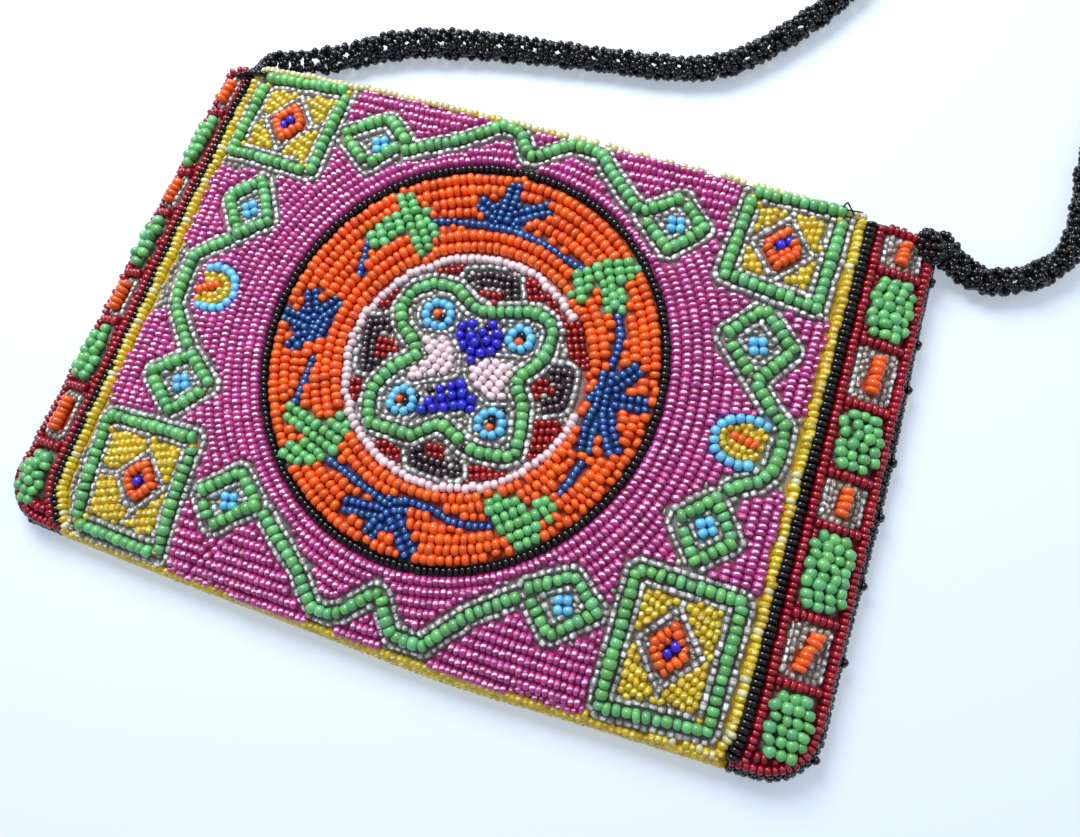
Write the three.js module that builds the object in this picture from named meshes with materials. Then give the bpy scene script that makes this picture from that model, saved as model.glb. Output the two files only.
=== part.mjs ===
// Beaded purse: a soft flat pouch with a domed beaded front panel, a beaded band down each side,
// a plain back, bead edging whipped round the seams, and a beaded rope strap between the two top corners.
// Millimetres, +Z up. The pouch lies on its back with its mouth towards +Y.
// The origin is on the surface that it lies on, under the middle of the pouch.
import * as THREE from 'three';
import { mergeVertices } from 'three/addons/utils/BufferGeometryUtils.js';

// Driving dimensions: the sewn outline of the pouch, without its edging
const OUTLINE = {
  leftAtBottom: -96.2,
  leftAtTop: -85.2,
  rightAtBottom: 96.6,
  rightAtTop: 93.8,
  bottom: -61.4,
  bottomBow: 2.4,
  top: 60.4,
  topTilt: -2.2,
  topBow: 0.8,
  bottomCorner: 10,
  topCorner: 3,
};

// The front panel between the two side bands
const PANEL = {
  leftAtBottom: -85.0,
  leftAtTop: -79.8,
  leftBow: 1.0,
  leftCurl: 6.0,
  rightAtBottom: 82.2,
  rightAtTop: 79.4,
  rightCurl: -1.3,
  curlFrom: 0.8,
  creaseDepth: 0.8,
  creaseWidth: 2.2,
};
const BAND_CROWN = 0.7;

// Cloth walls with their layer of beads, and the clearance between neighbouring pieces
const FRONT_WALL = 2.4;
const BACK_WALL = 2.0;
const GAP = 0.3;

// Side view of the pouch: the seam, the filled-out front and the lifted edge of the back
const SEAM_LIFT = 1.3;
const SEAM_TOP = SEAM_LIFT + BACK_WALL + GAP + FRONT_WALL;
const DOME = {
  height: 7.6,
  acrossPower: 3.2,
  acrossEase: 0.8,
  alongPower: 4,
  alongEase: 0.7,
  mouthDrop: 0.35,
};
const BACK_FLAT = 0.78;

// Edging over the seams, an oval strip outside the sewn edge
const EDGING = { halfWide: 0.75, halfHigh: 1.9, middle: 3.0, sides: 8, mouthEnd: 3.2 };

// Strap: a rope of beads, thinner where its left end is sewn on
const STRAP = { diameter: 6.6, rootDiameter: 3.2, taperLength: 14, sides: 10, steps: 76 };

// Strap route from the left top corner to the right one, lying on the surface
const STRAP_ROUTE = [
  { x: -79.6, y: 63.8, z: 4.6 },
  { x: -78.4, y: 65.7, z: 4.4 },
  { x: -75.8, y: 67.2, z: 4.0 },
  { x: -67.2, y: 69.4, z: 3.4 },
  { x: -58.3, y: 72.9, z: 3.4 },
  { x: -50.0, y: 77.2, z: 3.4 },
  { x: -41.5, y: 80.7, z: 3.4 },
  { x: -34.0, y: 82.2, z: 3.4 },
  { x: -27.0, y: 83.6, z: 3.4 },
  { x: -16.0, y: 84.9, z: 3.4 },
  { x: -5.0, y: 85.9, z: 3.4 },
  { x: 6.0, y: 86.8, z: 3.4 },
  { x: 17.0, y: 87.6, z: 3.4 },
  { x: 27.0, y: 88.9, z: 3.4 },
  { x: 34.5, y: 91.0, z: 3.4 },
  { x: 41.0, y: 95.2, z: 3.4 },
  { x: 47.0, y: 101.0, z: 3.4 },
  { x: 52.5, y: 107.4, z: 3.4 },
  { x: 57.5, y: 114.5, z: 3.4 },
  { x: 62.5, y: 124.0, z: 3.4 },
  { x: 66.0, y: 136.0, z: 3.4 },
  { x: 67.8, y: 154.0, z: 3.4 },
  { x: 67.5, y: 178.0, z: 3.4 },
  { x: 68.0, y: 204.0, z: 3.4 },
  { x: 71.5, y: 230.0, z: 3.4 },
  { x: 80.5, y: 254.0, z: 3.4 },
  { x: 95.5, y: 270.0, z: 3.4 },
  { x: 114.5, y: 275.0, z: 3.4 },
  { x: 133.0, y: 268.5, z: 3.4 },
  { x: 145.5, y: 252.0, z: 3.4 },
  { x: 151.0, y: 228.0, z: 3.4 },
  { x: 150.5, y: 203.0, z: 3.4 },
  { x: 145.5, y: 178.0, z: 3.4 },
  { x: 138.0, y: 152.0, z: 3.4 },
  { x: 130.0, y: 127.0, z: 3.4 },
  { x: 124.2, y: 105.0, z: 3.4 },
  { x: 122.2, y: 86.0, z: 3.4 },
  { x: 123.0, y: 74.0, z: 3.4 },
  { x: 122.2, y: 64.5, z: 3.4 },
  { x: 117.6, y: 57.8, z: 3.4 },
  { x: 111.0, y: 53.8, z: 3.4 },
  { x: 105.0, y: 52.8, z: 3.4 },
  { x: 100.4, y: 54.7, z: 3.6 },
  { x: 96.2, y: 57.5, z: 3.8 },
];

// Mesh density: places along the front and back walls, closer together towards the edges
const COLUMNS_PANEL = 16;
const BAND_STEPS = [0, 0.03, 0.1, 0.21, 0.36, 0.55, 0.77, 1];
const FRONT_ROWS = [-1, -0.985, -0.955, -0.91, -0.84, -0.75, -0.63, -0.48, -0.3, -0.1,
  0.1, 0.3, 0.5, 0.68, 0.84, 1];
const BACK_STEPS = [-1, -0.994, -0.976, -0.945, -0.91, -0.87, -0.83, -BACK_FLAT, -0.3, 0.3, BACK_FLAT,
  0.83, 0.87, 0.91, 0.945, 0.976, 0.994, 1];
const BACK_ROWS = [-1, -0.97, -0.93, -0.88, -0.83, -BACK_FLAT, -0.3, 0.3, 0.75, 1];

const { lerp, clamp } = THREE.MathUtils;

// The pouch's left and right sewn edges at height v, from -1 at its bottom to 1 at its mouth
const leftEdge = (v) => lerp(OUTLINE.leftAtBottom, OUTLINE.leftAtTop, (v + 1) / 2);
const rightEdge = (v) => lerp(OUTLINE.rightAtBottom, OUTLINE.rightAtTop, (v + 1) / 2);

// How far across the pouch x lies, from -1 at the left edge to 1 at the right one
function acrossShare(x, v) {
  return (2 * (x - leftEdge(v))) / (rightEdge(v) - leftEdge(v)) - 1;
}

// How much a round corner of that radius takes off an edge, at a distance in from the pouch's side
function cornerInset(distance, radius) {
  const short = clamp(radius - distance, 0, radius);
  return radius - Math.sqrt(radius * radius - short * short);
}

function bottomEdge(x) {
  const u = acrossShare(x, -1);
  const inFromSide = Math.min(x - OUTLINE.leftAtBottom, OUTLINE.rightAtBottom - x);
  return OUTLINE.bottom - OUTLINE.bottomBow * (1 - u * u) + cornerInset(inFromSide, OUTLINE.bottomCorner);
}

function topEdge(x) {
  const u = acrossShare(x, 1);
  const inFromSide = Math.min(x - OUTLINE.leftAtTop, OUTLINE.rightAtTop - x);
  const straight = OUTLINE.top + OUTLINE.topTilt * u + OUTLINE.topBow * (1 - u * u);
  return straight - cornerInset(inFromSide, OUTLINE.topCorner);
}

const heightOnPouch = (x, v) => lerp(bottomEdge(x), topEdge(x), (v + 1) / 2);

// Where the front panel meets the left (-1) or right (1) band at height v; the line curls in at the bottom
function panelEdge(side, v) {
  const share = (v + 1) / 2;
  const curl = clamp((-v - PANEL.curlFrom) / (1 - PANEL.curlFrom), 0, 1) ** 2;
  return side < 0
    ? lerp(PANEL.leftAtBottom, PANEL.leftAtTop, share) + PANEL.leftBow * (1 - v * v) + PANEL.leftCurl * curl
    : lerp(PANEL.rightAtBottom, PANEL.rightAtTop, share) + PANEL.rightCurl * curl;
}

// Height of the front's outer face: a dome that falls to the seams and stays up at the mouth,
// with a crease where panel and band meet and a slight crown on each band
function frontHeight(x, v) {
  const u = clamp(acrossShare(x, v), -1, 1);
  const across = (1 - Math.abs(u) ** DOME.acrossPower) ** DOME.acrossEase;
  const along = v < 0
    ? (1 - Math.abs(v) ** DOME.alongPower) ** DOME.alongEase
    : 1 - DOME.mouthDrop * v ** DOME.alongPower;
  const side = x < 0 ? -1 : 1;
  const sewn = x < 0 ? leftEdge(v) : rightEdge(v);
  const fromPanel = side * (x - panelEdge(side, v));
  const bandShare = clamp(fromPanel / Math.abs(sewn - panelEdge(side, v)), 0, 1);
  const crease = PANEL.creaseDepth * Math.exp(-((fromPanel / PANEL.creaseWidth) ** 2)) * along;
  const crown = BAND_CROWN * Math.sin(Math.PI * bandShare) * along;
  return SEAM_TOP + DOME.height * across * along - crease + crown;
}

// Height of the back's outer face: flat on the surface, lifted towards the three sewn edges
function backHeight(x, v) {
  const u = clamp(acrossShare(x, v), -1, 1);
  const towardsEdge = clamp((Math.max(Math.abs(u), -v) - BACK_FLAT) / (1 - BACK_FLAT), 0, 1);
  return SEAM_LIFT * towardsEdge ** 2;
}

// A closed wall between two faces that share a grid of places
function wall(columns, rows, xAt, outerZ, innerZ) {
  const positions = [];
  const triangles = [];
  const wide = columns.length;
  const place = (face, i, j) => (face * rows.length + j) * wide + i;
  for (const faceZ of [outerZ, innerZ]) {
    for (const v of rows) {
      for (const t of columns) {
        const x = xAt(t, v);
        positions.push(x, heightOnPouch(x, v), faceZ(x, v));
      }
    }
  }
  const quad = (a, b, c, d) => triangles.push(a, b, c, a, c, d);
  for (let j = 0; j + 1 < rows.length; j++) {
    for (let i = 0; i + 1 < wide; i++) {
      quad(place(0, i, j), place(0, i + 1, j), place(0, i + 1, j + 1), place(0, i, j + 1));
      quad(place(1, i, j + 1), place(1, i + 1, j + 1), place(1, i + 1, j), place(1, i, j));
    }
  }
  const last = { i: wide - 1, j: rows.length - 1 };
  for (let i = 0; i < last.i; i++) {
    quad(place(1, i, 0), place(1, i + 1, 0), place(0, i + 1, 0), place(0, i, 0));
    quad(place(0, i, last.j), place(0, i + 1, last.j), place(1, i + 1, last.j), place(1, i, last.j));
  }
  for (let j = 0; j < last.j; j++) {
    quad(place(1, 0, j + 1), place(1, 0, j), place(0, 0, j), place(0, 0, j + 1));
    quad(place(1, last.i, j), place(1, last.i, j + 1), place(0, last.i, j + 1), place(0, last.i, j));
  }
  const geometry = new THREE.BufferGeometry();
  geometry.setAttribute('position', new THREE.Float32BufferAttribute(positions, 3));
  geometry.setIndex(triangles);
  return geometry;
}

const frontInside = (x, v) => frontHeight(x, v) - FRONT_WALL;
const backInside = (x, v) => backHeight(x, v) + BACK_WALL;

function frontPanel() {
  const place = (_, i) => 0.5 - 0.5 * Math.cos((Math.PI * i) / COLUMNS_PANEL);
  const columns = Array.from({ length: COLUMNS_PANEL + 1 }, place);
  const xAt = (t, v) => lerp(panelEdge(-1, v) + GAP / 2, panelEdge(1, v) - GAP / 2, t);
  return wall(columns, FRONT_ROWS, xAt, frontHeight, frontInside);
}

function sideBand(side) {
  const sewn = side < 0 ? leftEdge : rightEdge;
  const xAt = (t, v) => lerp(sewn(v), panelEdge(side, v) + (side * GAP) / 2, t);
  const columns = side < 0 ? BAND_STEPS : [...BAND_STEPS].reverse();
  return wall(columns, FRONT_ROWS, xAt, frontHeight, frontInside);
}

function backPanel() {
  const xAt = (u, v) => lerp(leftEdge(v), rightEdge(v), (u + 1) / 2);
  return wall(BACK_STEPS, BACK_ROWS, xAt, backInside, backHeight);
}

// A point outside the sewn outline, on the middle line of the edging
function besideSide(side, v) {
  const sewn = side < 0 ? leftEdge : rightEdge;
  const x = sewn(v) + side * (GAP + EDGING.halfWide);
  return new THREE.Vector3(x, heightOnPouch(sewn(v), v), EDGING.middle);
}

function belowBottom(x) {
  return new THREE.Vector3(x, bottomEdge(x) - GAP - EDGING.halfWide, EDGING.middle);
}

function roundTheCorner(side, share) {
  const radius = OUTLINE.bottomCorner;
  const sewn = side < 0 ? OUTLINE.leftAtBottom : OUTLINE.rightAtBottom;
  const angle = (share * Math.PI) / 2;
  const sewnX = sewn - side * radius * (1 - Math.cos(angle));
  const out = GAP + EDGING.halfWide;
  const x = sewnX + side * out * Math.cos(angle);
  return new THREE.Vector3(x, bottomEdge(sewnX) - out * Math.sin(angle), EDGING.middle);
}

function ovalSection(halfWide, halfHigh, sides) {
  const corner = (k) => {
    const angle = ((k + 0.5) * 2 * Math.PI) / sides;
    const grow = 1 / Math.cos(Math.PI / sides);
    return new THREE.Vector2(grow * halfHigh * Math.cos(angle), grow * halfWide * Math.sin(angle));
  };
  return new THREE.Shape(Array.from({ length: sides }, (_, k) => corner(k)));
}

// A tube's triangles with shared corners, as a closed mesh
function closed(geometry) {
  geometry.deleteAttribute('normal');
  geometry.deleteAttribute('uv');
  return mergeVertices(geometry, 1e-4);
}

function edgingAlong(points, steps) {
  const section = ovalSection(EDGING.halfWide, EDGING.halfHigh, EDGING.sides);
  const extrudePath = new THREE.CatmullRomCurve3(points, false, 'centripetal');
  return closed(new THREE.ExtrudeGeometry(section, { steps, extrudePath, curveSegments: 1 }));
}

function sideEdging(side) {
  const topY = heightOnPouch(side < 0 ? OUTLINE.leftAtTop : OUTLINE.rightAtTop, 1) - EDGING.mouthEnd;
  const points = [];
  for (const v of [1, 0.6, 0.2, -0.2, -0.6, -0.92]) {
    const point = besideSide(side, v);
    points.push(v === 1 ? point.setY(topY) : point);
  }
  for (const share of [0.12, 0.37, 0.63, 0.88]) points.push(roundTheCorner(side, share));
  const meeting = panelEdge(side, -1) + (side * GAP) / 2;
  points.push(belowBottom(meeting + side * 1.5), belowBottom(meeting));
  return edgingAlong(points, 60);
}

function bottomEdging() {
  const from = panelEdge(-1, -1) + GAP / 2;
  const to = panelEdge(1, -1) - GAP / 2;
  const points = [0, 0.2, 0.4, 0.6, 0.8, 1].map((share) => belowBottom(lerp(from, to, share)));
  return edgingAlong(points, 20);
}

function strap() {
  const points = STRAP_ROUTE.map(({ x, y, z }) => new THREE.Vector3(x, y, z));
  const extrudePath = new THREE.CatmullRomCurve3(points, false, 'centripetal');
  const toFlat = (STRAP.diameter / 2) * Math.cos(Math.PI / STRAP.sides);
  const section = ovalSection(toFlat, toFlat, STRAP.sides);
  const settings = { steps: STRAP.steps, extrudePath, curveSegments: 1 };
  const geometry = closed(new THREE.ExtrudeGeometry(section, settings));
  const length = extrudePath.getLength();
  const middles = extrudePath.getSpacedPoints(STRAP.steps);
  const position = geometry.getAttribute('position');
  const corner = new THREE.Vector3();
  for (let i = 0; i < position.count; i++) {
    corner.fromBufferAttribute(position, i);
    const distances = middles.map((middle) => middle.distanceTo(corner));
    const step = distances.indexOf(Math.min(...distances));
    const fromRoot = step * (length / STRAP.steps);
    const grown = clamp(fromRoot / STRAP.taperLength, 0, 1);
    const share = lerp(STRAP.rootDiameter / STRAP.diameter, 1, grown);
    corner.sub(middles[step]).multiplyScalar(share).add(middles[step]);
    position.setXYZ(i, corner.x, corner.y, corner.z);
  }
  return geometry;
}

function finish(color, roughness) {
  return new THREE.MeshStandardMaterial({ color, roughness, metalness: 0 });
}

const MATERIALS = {
  magenta: finish(0xa8326f, 0.3),
  red: finish(0x7a1424, 0.3),
  black: finish(0x16151a, 0.3),
  yellow: finish(0xcfa51c, 0.25),
  cloth: finish(0x1a191d, 0.85),
};

const purse = new THREE.Group();

function piece(name, geometry, material) {
  const mesh = new THREE.Mesh(geometry, material);
  mesh.name = name;
  purse.add(mesh);
}

piece('front_panel', frontPanel(), MATERIALS.magenta);
piece('left_band', sideBand(-1), MATERIALS.red);
piece('right_band', sideBand(1), MATERIALS.red);
piece('back_panel', backPanel(), MATERIALS.cloth);
piece('left_edging', sideEdging(-1), MATERIALS.black);
piece('right_edging', sideEdging(1), MATERIALS.black);
piece('bottom_edging', bottomEdging(), MATERIALS.yellow);
piece('strap', strap(), MATERIALS.black);

export default purse;
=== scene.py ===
# Beaded purse: bead rows, cloth ground, edging and strap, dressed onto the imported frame
import math
import bpy
import numpy as np
from mathutils import Matrix, Vector


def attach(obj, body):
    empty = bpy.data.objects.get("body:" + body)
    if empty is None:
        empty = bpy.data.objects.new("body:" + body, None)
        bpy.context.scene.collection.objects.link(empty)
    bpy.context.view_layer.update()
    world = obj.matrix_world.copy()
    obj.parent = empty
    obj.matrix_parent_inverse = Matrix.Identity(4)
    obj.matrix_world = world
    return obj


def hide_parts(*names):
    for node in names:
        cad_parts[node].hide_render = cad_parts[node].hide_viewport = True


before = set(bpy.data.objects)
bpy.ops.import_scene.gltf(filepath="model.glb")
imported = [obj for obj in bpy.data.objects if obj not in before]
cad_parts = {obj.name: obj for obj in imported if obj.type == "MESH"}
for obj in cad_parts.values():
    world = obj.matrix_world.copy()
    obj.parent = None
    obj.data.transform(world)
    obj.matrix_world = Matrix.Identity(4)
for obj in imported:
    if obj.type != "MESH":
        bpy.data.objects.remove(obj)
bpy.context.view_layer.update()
mm = 0.001
dice = np.random.default_rng(11)
print("frame loaded:", len(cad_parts), "solids")


def addObject(name, data):
    thing = bpy.data.objects.new(name, data)
    bpy.context.scene.collection.objects.link(thing)
    return thing


# The camera stands where the photograph was taken from, with its framing
photoView = {
    "imageWide": 1080.0, "focalPixels": 1000.0, "sensor": 36.0, "clip": (0.01, 20.0),
    "place": (69.41, -48.21, 221.16),
    "right": (0.93891, 0.31185, -0.14556),
    "up": (-0.27083, 0.93050, 0.24660),
    "back": (0.21235, -0.19211, 0.95812),
}


def setCamera(view):
    lens = bpy.data.cameras.new("photoCamera")
    lens.sensor_width = view["sensor"]
    lens.sensor_fit = "HORIZONTAL"
    lens.lens = view["sensor"] * view["focalPixels"] / view["imageWide"]
    lens.clip_start, lens.clip_end = view["clip"]
    camera = addObject("photoCamera", lens)
    axes = Matrix((view["right"], view["up"], view["back"])).transposed().to_4x4()
    axes.translation = [part * mm for part in view["place"]]
    camera.matrix_world = axes
    bpy.context.scene.camera = camera


setCamera(photoView)
print("camera set")


# Node helpers
def addNode(tree, kind, spot=(0, 0), **values):
    node = tree.nodes.new(kind)
    node.location = spot
    for key, value in values.items():
        setattr(node, key, value)
    return node


# A socket takes a plain value or the output of another node
def feed(tree, socket, value):
    if isinstance(value, (int, float, tuple)):
        socket.default_value = value
    else:
        tree.links.new(value, socket)


# A group's inputs are given with their first values: a tuple is a colour, a number a factor
def newGroup(name, inputs, outputs):
    group = bpy.data.node_groups.new(name, "ShaderNodeTree")
    for label, value in inputs.items():
        kind = "NodeSocketColor" if isinstance(value, tuple) else "NodeSocketFloat"
        socket = group.interface.new_socket(label, in_out="INPUT", socket_type=kind)
        socket.default_value = value
    for label, kind in outputs.items():
        group.interface.new_socket(label, in_out="OUTPUT", socket_type=kind)
    start = addNode(group, "NodeGroupInput", (-900, 0))
    end = addNode(group, "NodeGroupOutput", (700, 0))
    return group, start.outputs, end.inputs


def placeGroup(tree, group, **values):
    node = addNode(tree, "ShaderNodeGroup", (-500, 0), node_tree=group)
    for label, value in values.items():
        feed(tree, node.inputs[label.replace("_", " ")], value)
    return node


def mathNode(tree, operation, first, second=None, clamp=False):
    node = addNode(tree, "ShaderNodeMath", operation=operation, use_clamp=clamp)
    feed(tree, node.inputs[0], first)
    if second is not None:
        feed(tree, node.inputs[1], second)
    return node.outputs[0]


def ramp(tree, value, low, high, toLow=0.0, toHigh=1.0):
    node = addNode(tree, "ShaderNodeMapRange", interpolation_type="SMOOTHSTEP")
    tree.links.new(value, node.inputs["Value"])
    node.inputs["From Min"].default_value = low
    node.inputs["From Max"].default_value = high
    node.inputs["To Min"].default_value = toLow
    node.inputs["To Max"].default_value = toHigh
    return node.outputs["Result"]


def mixColour(tree, share, first, second, blend="MIX"):
    node = addNode(tree, "ShaderNodeMix", data_type="RGBA", blend_type=blend)
    for index, value in ((0, share), (6, first), (7, second)):  # the sockets of a colour mix
        feed(tree, node.inputs[index], value)
    return node.outputs[2]


def noiseNode(tree, place, scale, detail):
    noise = addNode(tree, "ShaderNodeTexNoise", (-500, -300))
    noise.inputs["Scale"].default_value = scale
    noise.inputs["Detail"].default_value = detail
    tree.links.new(place, noise.inputs["Vector"])
    return noise.outputs["Fac"]


def addBump(tree, shader, height, strength, distance):
    bump = addNode(tree, "ShaderNodeBump", (-300, -300))
    bump.inputs["Strength"].default_value = strength
    bump.inputs["Distance"].default_value = distance
    tree.links.new(height, bump.inputs["Height"])
    tree.links.new(bump.outputs["Normal"], shader.inputs["Normal"])


# Each bead keeps one random tone on its corners; more random shares are made from it
def beadTones(tree):
    return addNode(tree, "ShaderNodeAttribute", attribute_name="tone").outputs["Fac"]


def shareFrom(tree, tone, turns):
    return mathNode(tree, "FRACT", mathNode(tree, "MULTIPLY", tone, turns))


def colour(red, green, blue):
    # A screen colour from 0 to 255, as the linear colour that a shader takes
    def linear(part):
        share = part / 255
        return share / 12.92 if share <= 0.04045 else ((share + 0.055) / 1.055) ** 2.4
    return (linear(red), linear(green), linear(blue), 1.0)


# Each bead's own tone: lighter, darker and a little off in hue
def beadToneGroup():
    group, given, made = newGroup(
        "beadTone", {"Colour": (0.8, 0.8, 0.8, 1), "Spread": 0.2, "Hue Drift": 0.01},
        {"Colour": "NodeSocketColor"})
    tone = beadTones(group)
    centred = mathNode(group, "SUBTRACT", tone, 0.5)
    value = mathNode(group, "ADD", mathNode(group, "MULTIPLY", centred, given["Spread"]), 1.0)
    turned = mathNode(group, "SUBTRACT", shareFrom(group, tone, turns=7.31), 0.5)
    drift = mathNode(group, "MULTIPLY", turned, given["Hue Drift"])
    shift = addNode(group, "ShaderNodeHueSaturation")
    group.links.new(mathNode(group, "ADD", drift, 0.5), shift.inputs["Hue"])
    group.links.new(value, shift.inputs["Value"])
    group.links.new(given["Colour"], shift.inputs["Color"])
    group.links.new(shift.outputs["Color"], made["Colour"])
    return group


# Glass over a bright hole, with painted light on it: a painted highlight streak on top of the bead, a painted
# tint beside it, and a painted glow of light through the glass low down.
# Ramps are from, to and, where they aren't 0 and 1, the values at both ends
streak = {
    "bend": 0.35, "aside": 0.08, "edge": (0.55, 1.1, 1.0, 0.0), "onTop": (0.0, 0.5), "lowGlowRamp": (0.75, -0.35),
    "strayTurns": (11.3, 9.7, 17.1), "livelyTurns": 3.7, "lively": (0.0, 0.75, 0.25, 1.0),
    "beside": (0.9, 1.5), "paler": (1.8, 1.8, 1.8, 1),
}


def glassCoreAndGlintGroup():
    group, given, made = newGroup(
        "glassCoreAndGlint",
        {"Glass": (0.5, 0.5, 0.5, 1), "Core": (1, 1, 1, 1), "Core Long": 0.4, "Core Wide": 0.7,
         "Core Share": 0.8, "Beside": (0.5, 0.5, 0.5, 1), "Beside Share": 0.2,
         "Gather": 0.3, "Core Wander": 0.3},
        {"Colour": "NodeSocketColor"})
    seat = addNode(group, "ShaderNodeAttribute", attribute_name="seat")
    tone = beadTones(group)
    parts = addNode(group, "ShaderNodeSeparateXYZ")
    group.links.new(seat.outputs["Vector"], parts.inputs[0])
    along, across, lift = parts.outputs[0], parts.outputs[1], parts.outputs[2]
    strays = []
    for turns in streak["strayTurns"]:
        stray = mathNode(group, "SUBTRACT", shareFrom(group, tone, turns), 0.5)
        strays.append(mathNode(group, "MULTIPLY", stray, given["Core Wander"]))
    bent = mathNode(group, "MULTIPLY", mathNode(group, "MULTIPLY", across, across), streak["bend"])
    shifted = mathNode(group, "ADD", mathNode(group, "SUBTRACT", along, streak["aside"]), bent)
    shifted = mathNode(group, "ADD", shifted, strays[0])
    lengthShare = mathNode(group, "DIVIDE", mathNode(group, "ABSOLUTE", shifted), given["Core Long"])
    lengthShare = mathNode(group, "DIVIDE", lengthShare, mathNode(group, "ADD", strays[1], 1.0))
    sideShare = mathNode(group, "DIVIDE", mathNode(group, "ABSOLUTE", across), given["Core Wide"])
    sideShare = mathNode(group, "DIVIDE", sideShare, mathNode(group, "ADD", strays[2], 1.0))
    # The core streak is a painted highlight: a reflection of the window lamp on most kinds, and on silver and
    # clear beads the lined hole painted as bright as its reflection
    bright = mathNode(group, "MULTIPLY", ramp(group, lengthShare, *streak["edge"]),
                      ramp(group, sideShare, *streak["edge"]))
    # Painted only on the bead's top, the side that faces up to the light
    onTop = ramp(group, lift, *streak["onTop"])
    lively = ramp(group, shareFrom(group, tone, streak["livelyTurns"]), *streak["lively"])
    mask = mathNode(group, "MULTIPLY", bright, mathNode(group, "MULTIPLY", onTop, lively))
    mask = mathNode(group, "MULTIPLY", mask, given["Core Share"], clamp=True)
    # Low on the bead the glass is painted paler: a painted glow of light through the glass
    pale = mixColour(group, 1.0, given["Glass"], streak["paler"], "MULTIPLY")
    low = mathNode(group, "MULTIPLY", ramp(group, lift, *streak["lowGlowRamp"]), given["Gather"], clamp=True)
    glass = mixColour(group, low, given["Glass"], pale)
    # Beside the streak a painted tint: painted shade on most kinds, a painted lilac sheen on magenta
    outer = mathNode(group, "MULTIPLY", ramp(group, sideShare, *streak["beside"]), given["Beside Share"])
    glass = mixColour(group, mathNode(group, "MULTIPLY", outer, onTop, clamp=True), glass, given["Beside"])
    group.links.new(mixColour(group, mask, glass, given["Core"]), made["Colour"])
    return group


# Plain weave by place on the cloth, for the ground under the beads and the back
def clothWeaveGroup():
    group, given, made = newGroup(
        "clothWeave", {"Thread": (0.05, 0.05, 0.05, 1), "Threads": 9000.0, "Contrast": 0.4},
        {"Colour": "NodeSocketColor", "Height": "NodeSocketFloat"})
    place = addNode(group, "ShaderNodeTexCoord").outputs["Object"]
    parts = addNode(group, "ShaderNodeSeparateXYZ")
    group.links.new(place, parts.inputs[0])
    waves = []
    for axis in (0, 1):
        turns = mathNode(group, "MULTIPLY", parts.outputs[axis], given["Threads"])
        waves.append(mathNode(group, "SINE", turns))
    over = mathNode(group, "MULTIPLY", waves[0], waves[1])
    fibre = noiseNode(group, place, scale=900.0, detail=4.0)
    height = mathNode(group, "ADD", mathNode(group, "MULTIPLY", over, 0.5), fibre)
    shade = mathNode(group, "MULTIPLY", mathNode(group, "SUBTRACT", height, 0.5), given["Contrast"])
    shift = addNode(group, "ShaderNodeHueSaturation")
    group.links.new(mathNode(group, "ADD", shade, 1.0), shift.inputs["Value"])
    group.links.new(given["Thread"], shift.inputs["Color"])
    group.links.new(shift.outputs["Color"], made["Colour"])
    group.links.new(height, made["Height"])
    return group


beadTone = beadToneGroup()
glassCoreAndGlint = glassCoreAndGlintGroup()
clothWeave = clothWeaveGroup()


def newMaterial(name):
    material = bpy.data.materials.new(name)
    material.use_nodes = True
    tree = material.node_tree
    return material, tree, tree.nodes["Principled BSDF"]


# Fine unevenness of the glass, so that no two glints are alike, and the roughness of its coat
glaze = {
    "opaque": {"grain": 1400.0, "uneven": 0.12, "coatRough": 0.08},
    "glass": {"grain": 1700.0, "uneven": 0.2, "coatRough": 0.05},
    "detail": 2.0, "depth": 0.0001,
}


def beadMaterial(name, look):
    material, tree, shader = newMaterial(name)
    finish = glaze["glass" if "core" in look else "opaque"]
    tone = placeGroup(tree, beadTone, Colour=look["colour"], Spread=look["spread"], Hue_Drift=look["drift"])
    skin = tone.outputs["Colour"]
    if "core" in look:
        coreLong, coreWide = look["coreSize"]
        core = placeGroup(
            tree, glassCoreAndGlint, Glass=skin, Core=look["core"], Core_Long=coreLong, Core_Wide=coreWide,
            Core_Share=look["coreShare"], Beside=look["beside"], Beside_Share=look["besideShare"],
            Gather=look["paintedLowGlow"], Core_Wander=look["wander"])
        skin = core.outputs["Colour"]
        # The glass glows with its own colour, painted glints included: a painted glow of light through the
        # glass
        tree.links.new(skin, shader.inputs["Emission Color"])
        shader.inputs["Emission Strength"].default_value = look["paintedGlow"]
    tree.links.new(skin, shader.inputs["Base Color"])
    shader.inputs["Roughness"].default_value = look["rough"]
    shader.inputs["Specular IOR Level"].default_value = look["shine"]
    shader.inputs["Coat Weight"].default_value = look["coat"]
    shader.inputs["Coat Roughness"].default_value = finish["coatRough"]
    place = addNode(tree, "ShaderNodeTexCoord", (-700, -300)).outputs["Object"]
    grain = noiseNode(tree, place, finish["grain"], glaze["detail"])
    addBump(tree, shader, grain, finish["uneven"], glaze["depth"])
    return material


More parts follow.
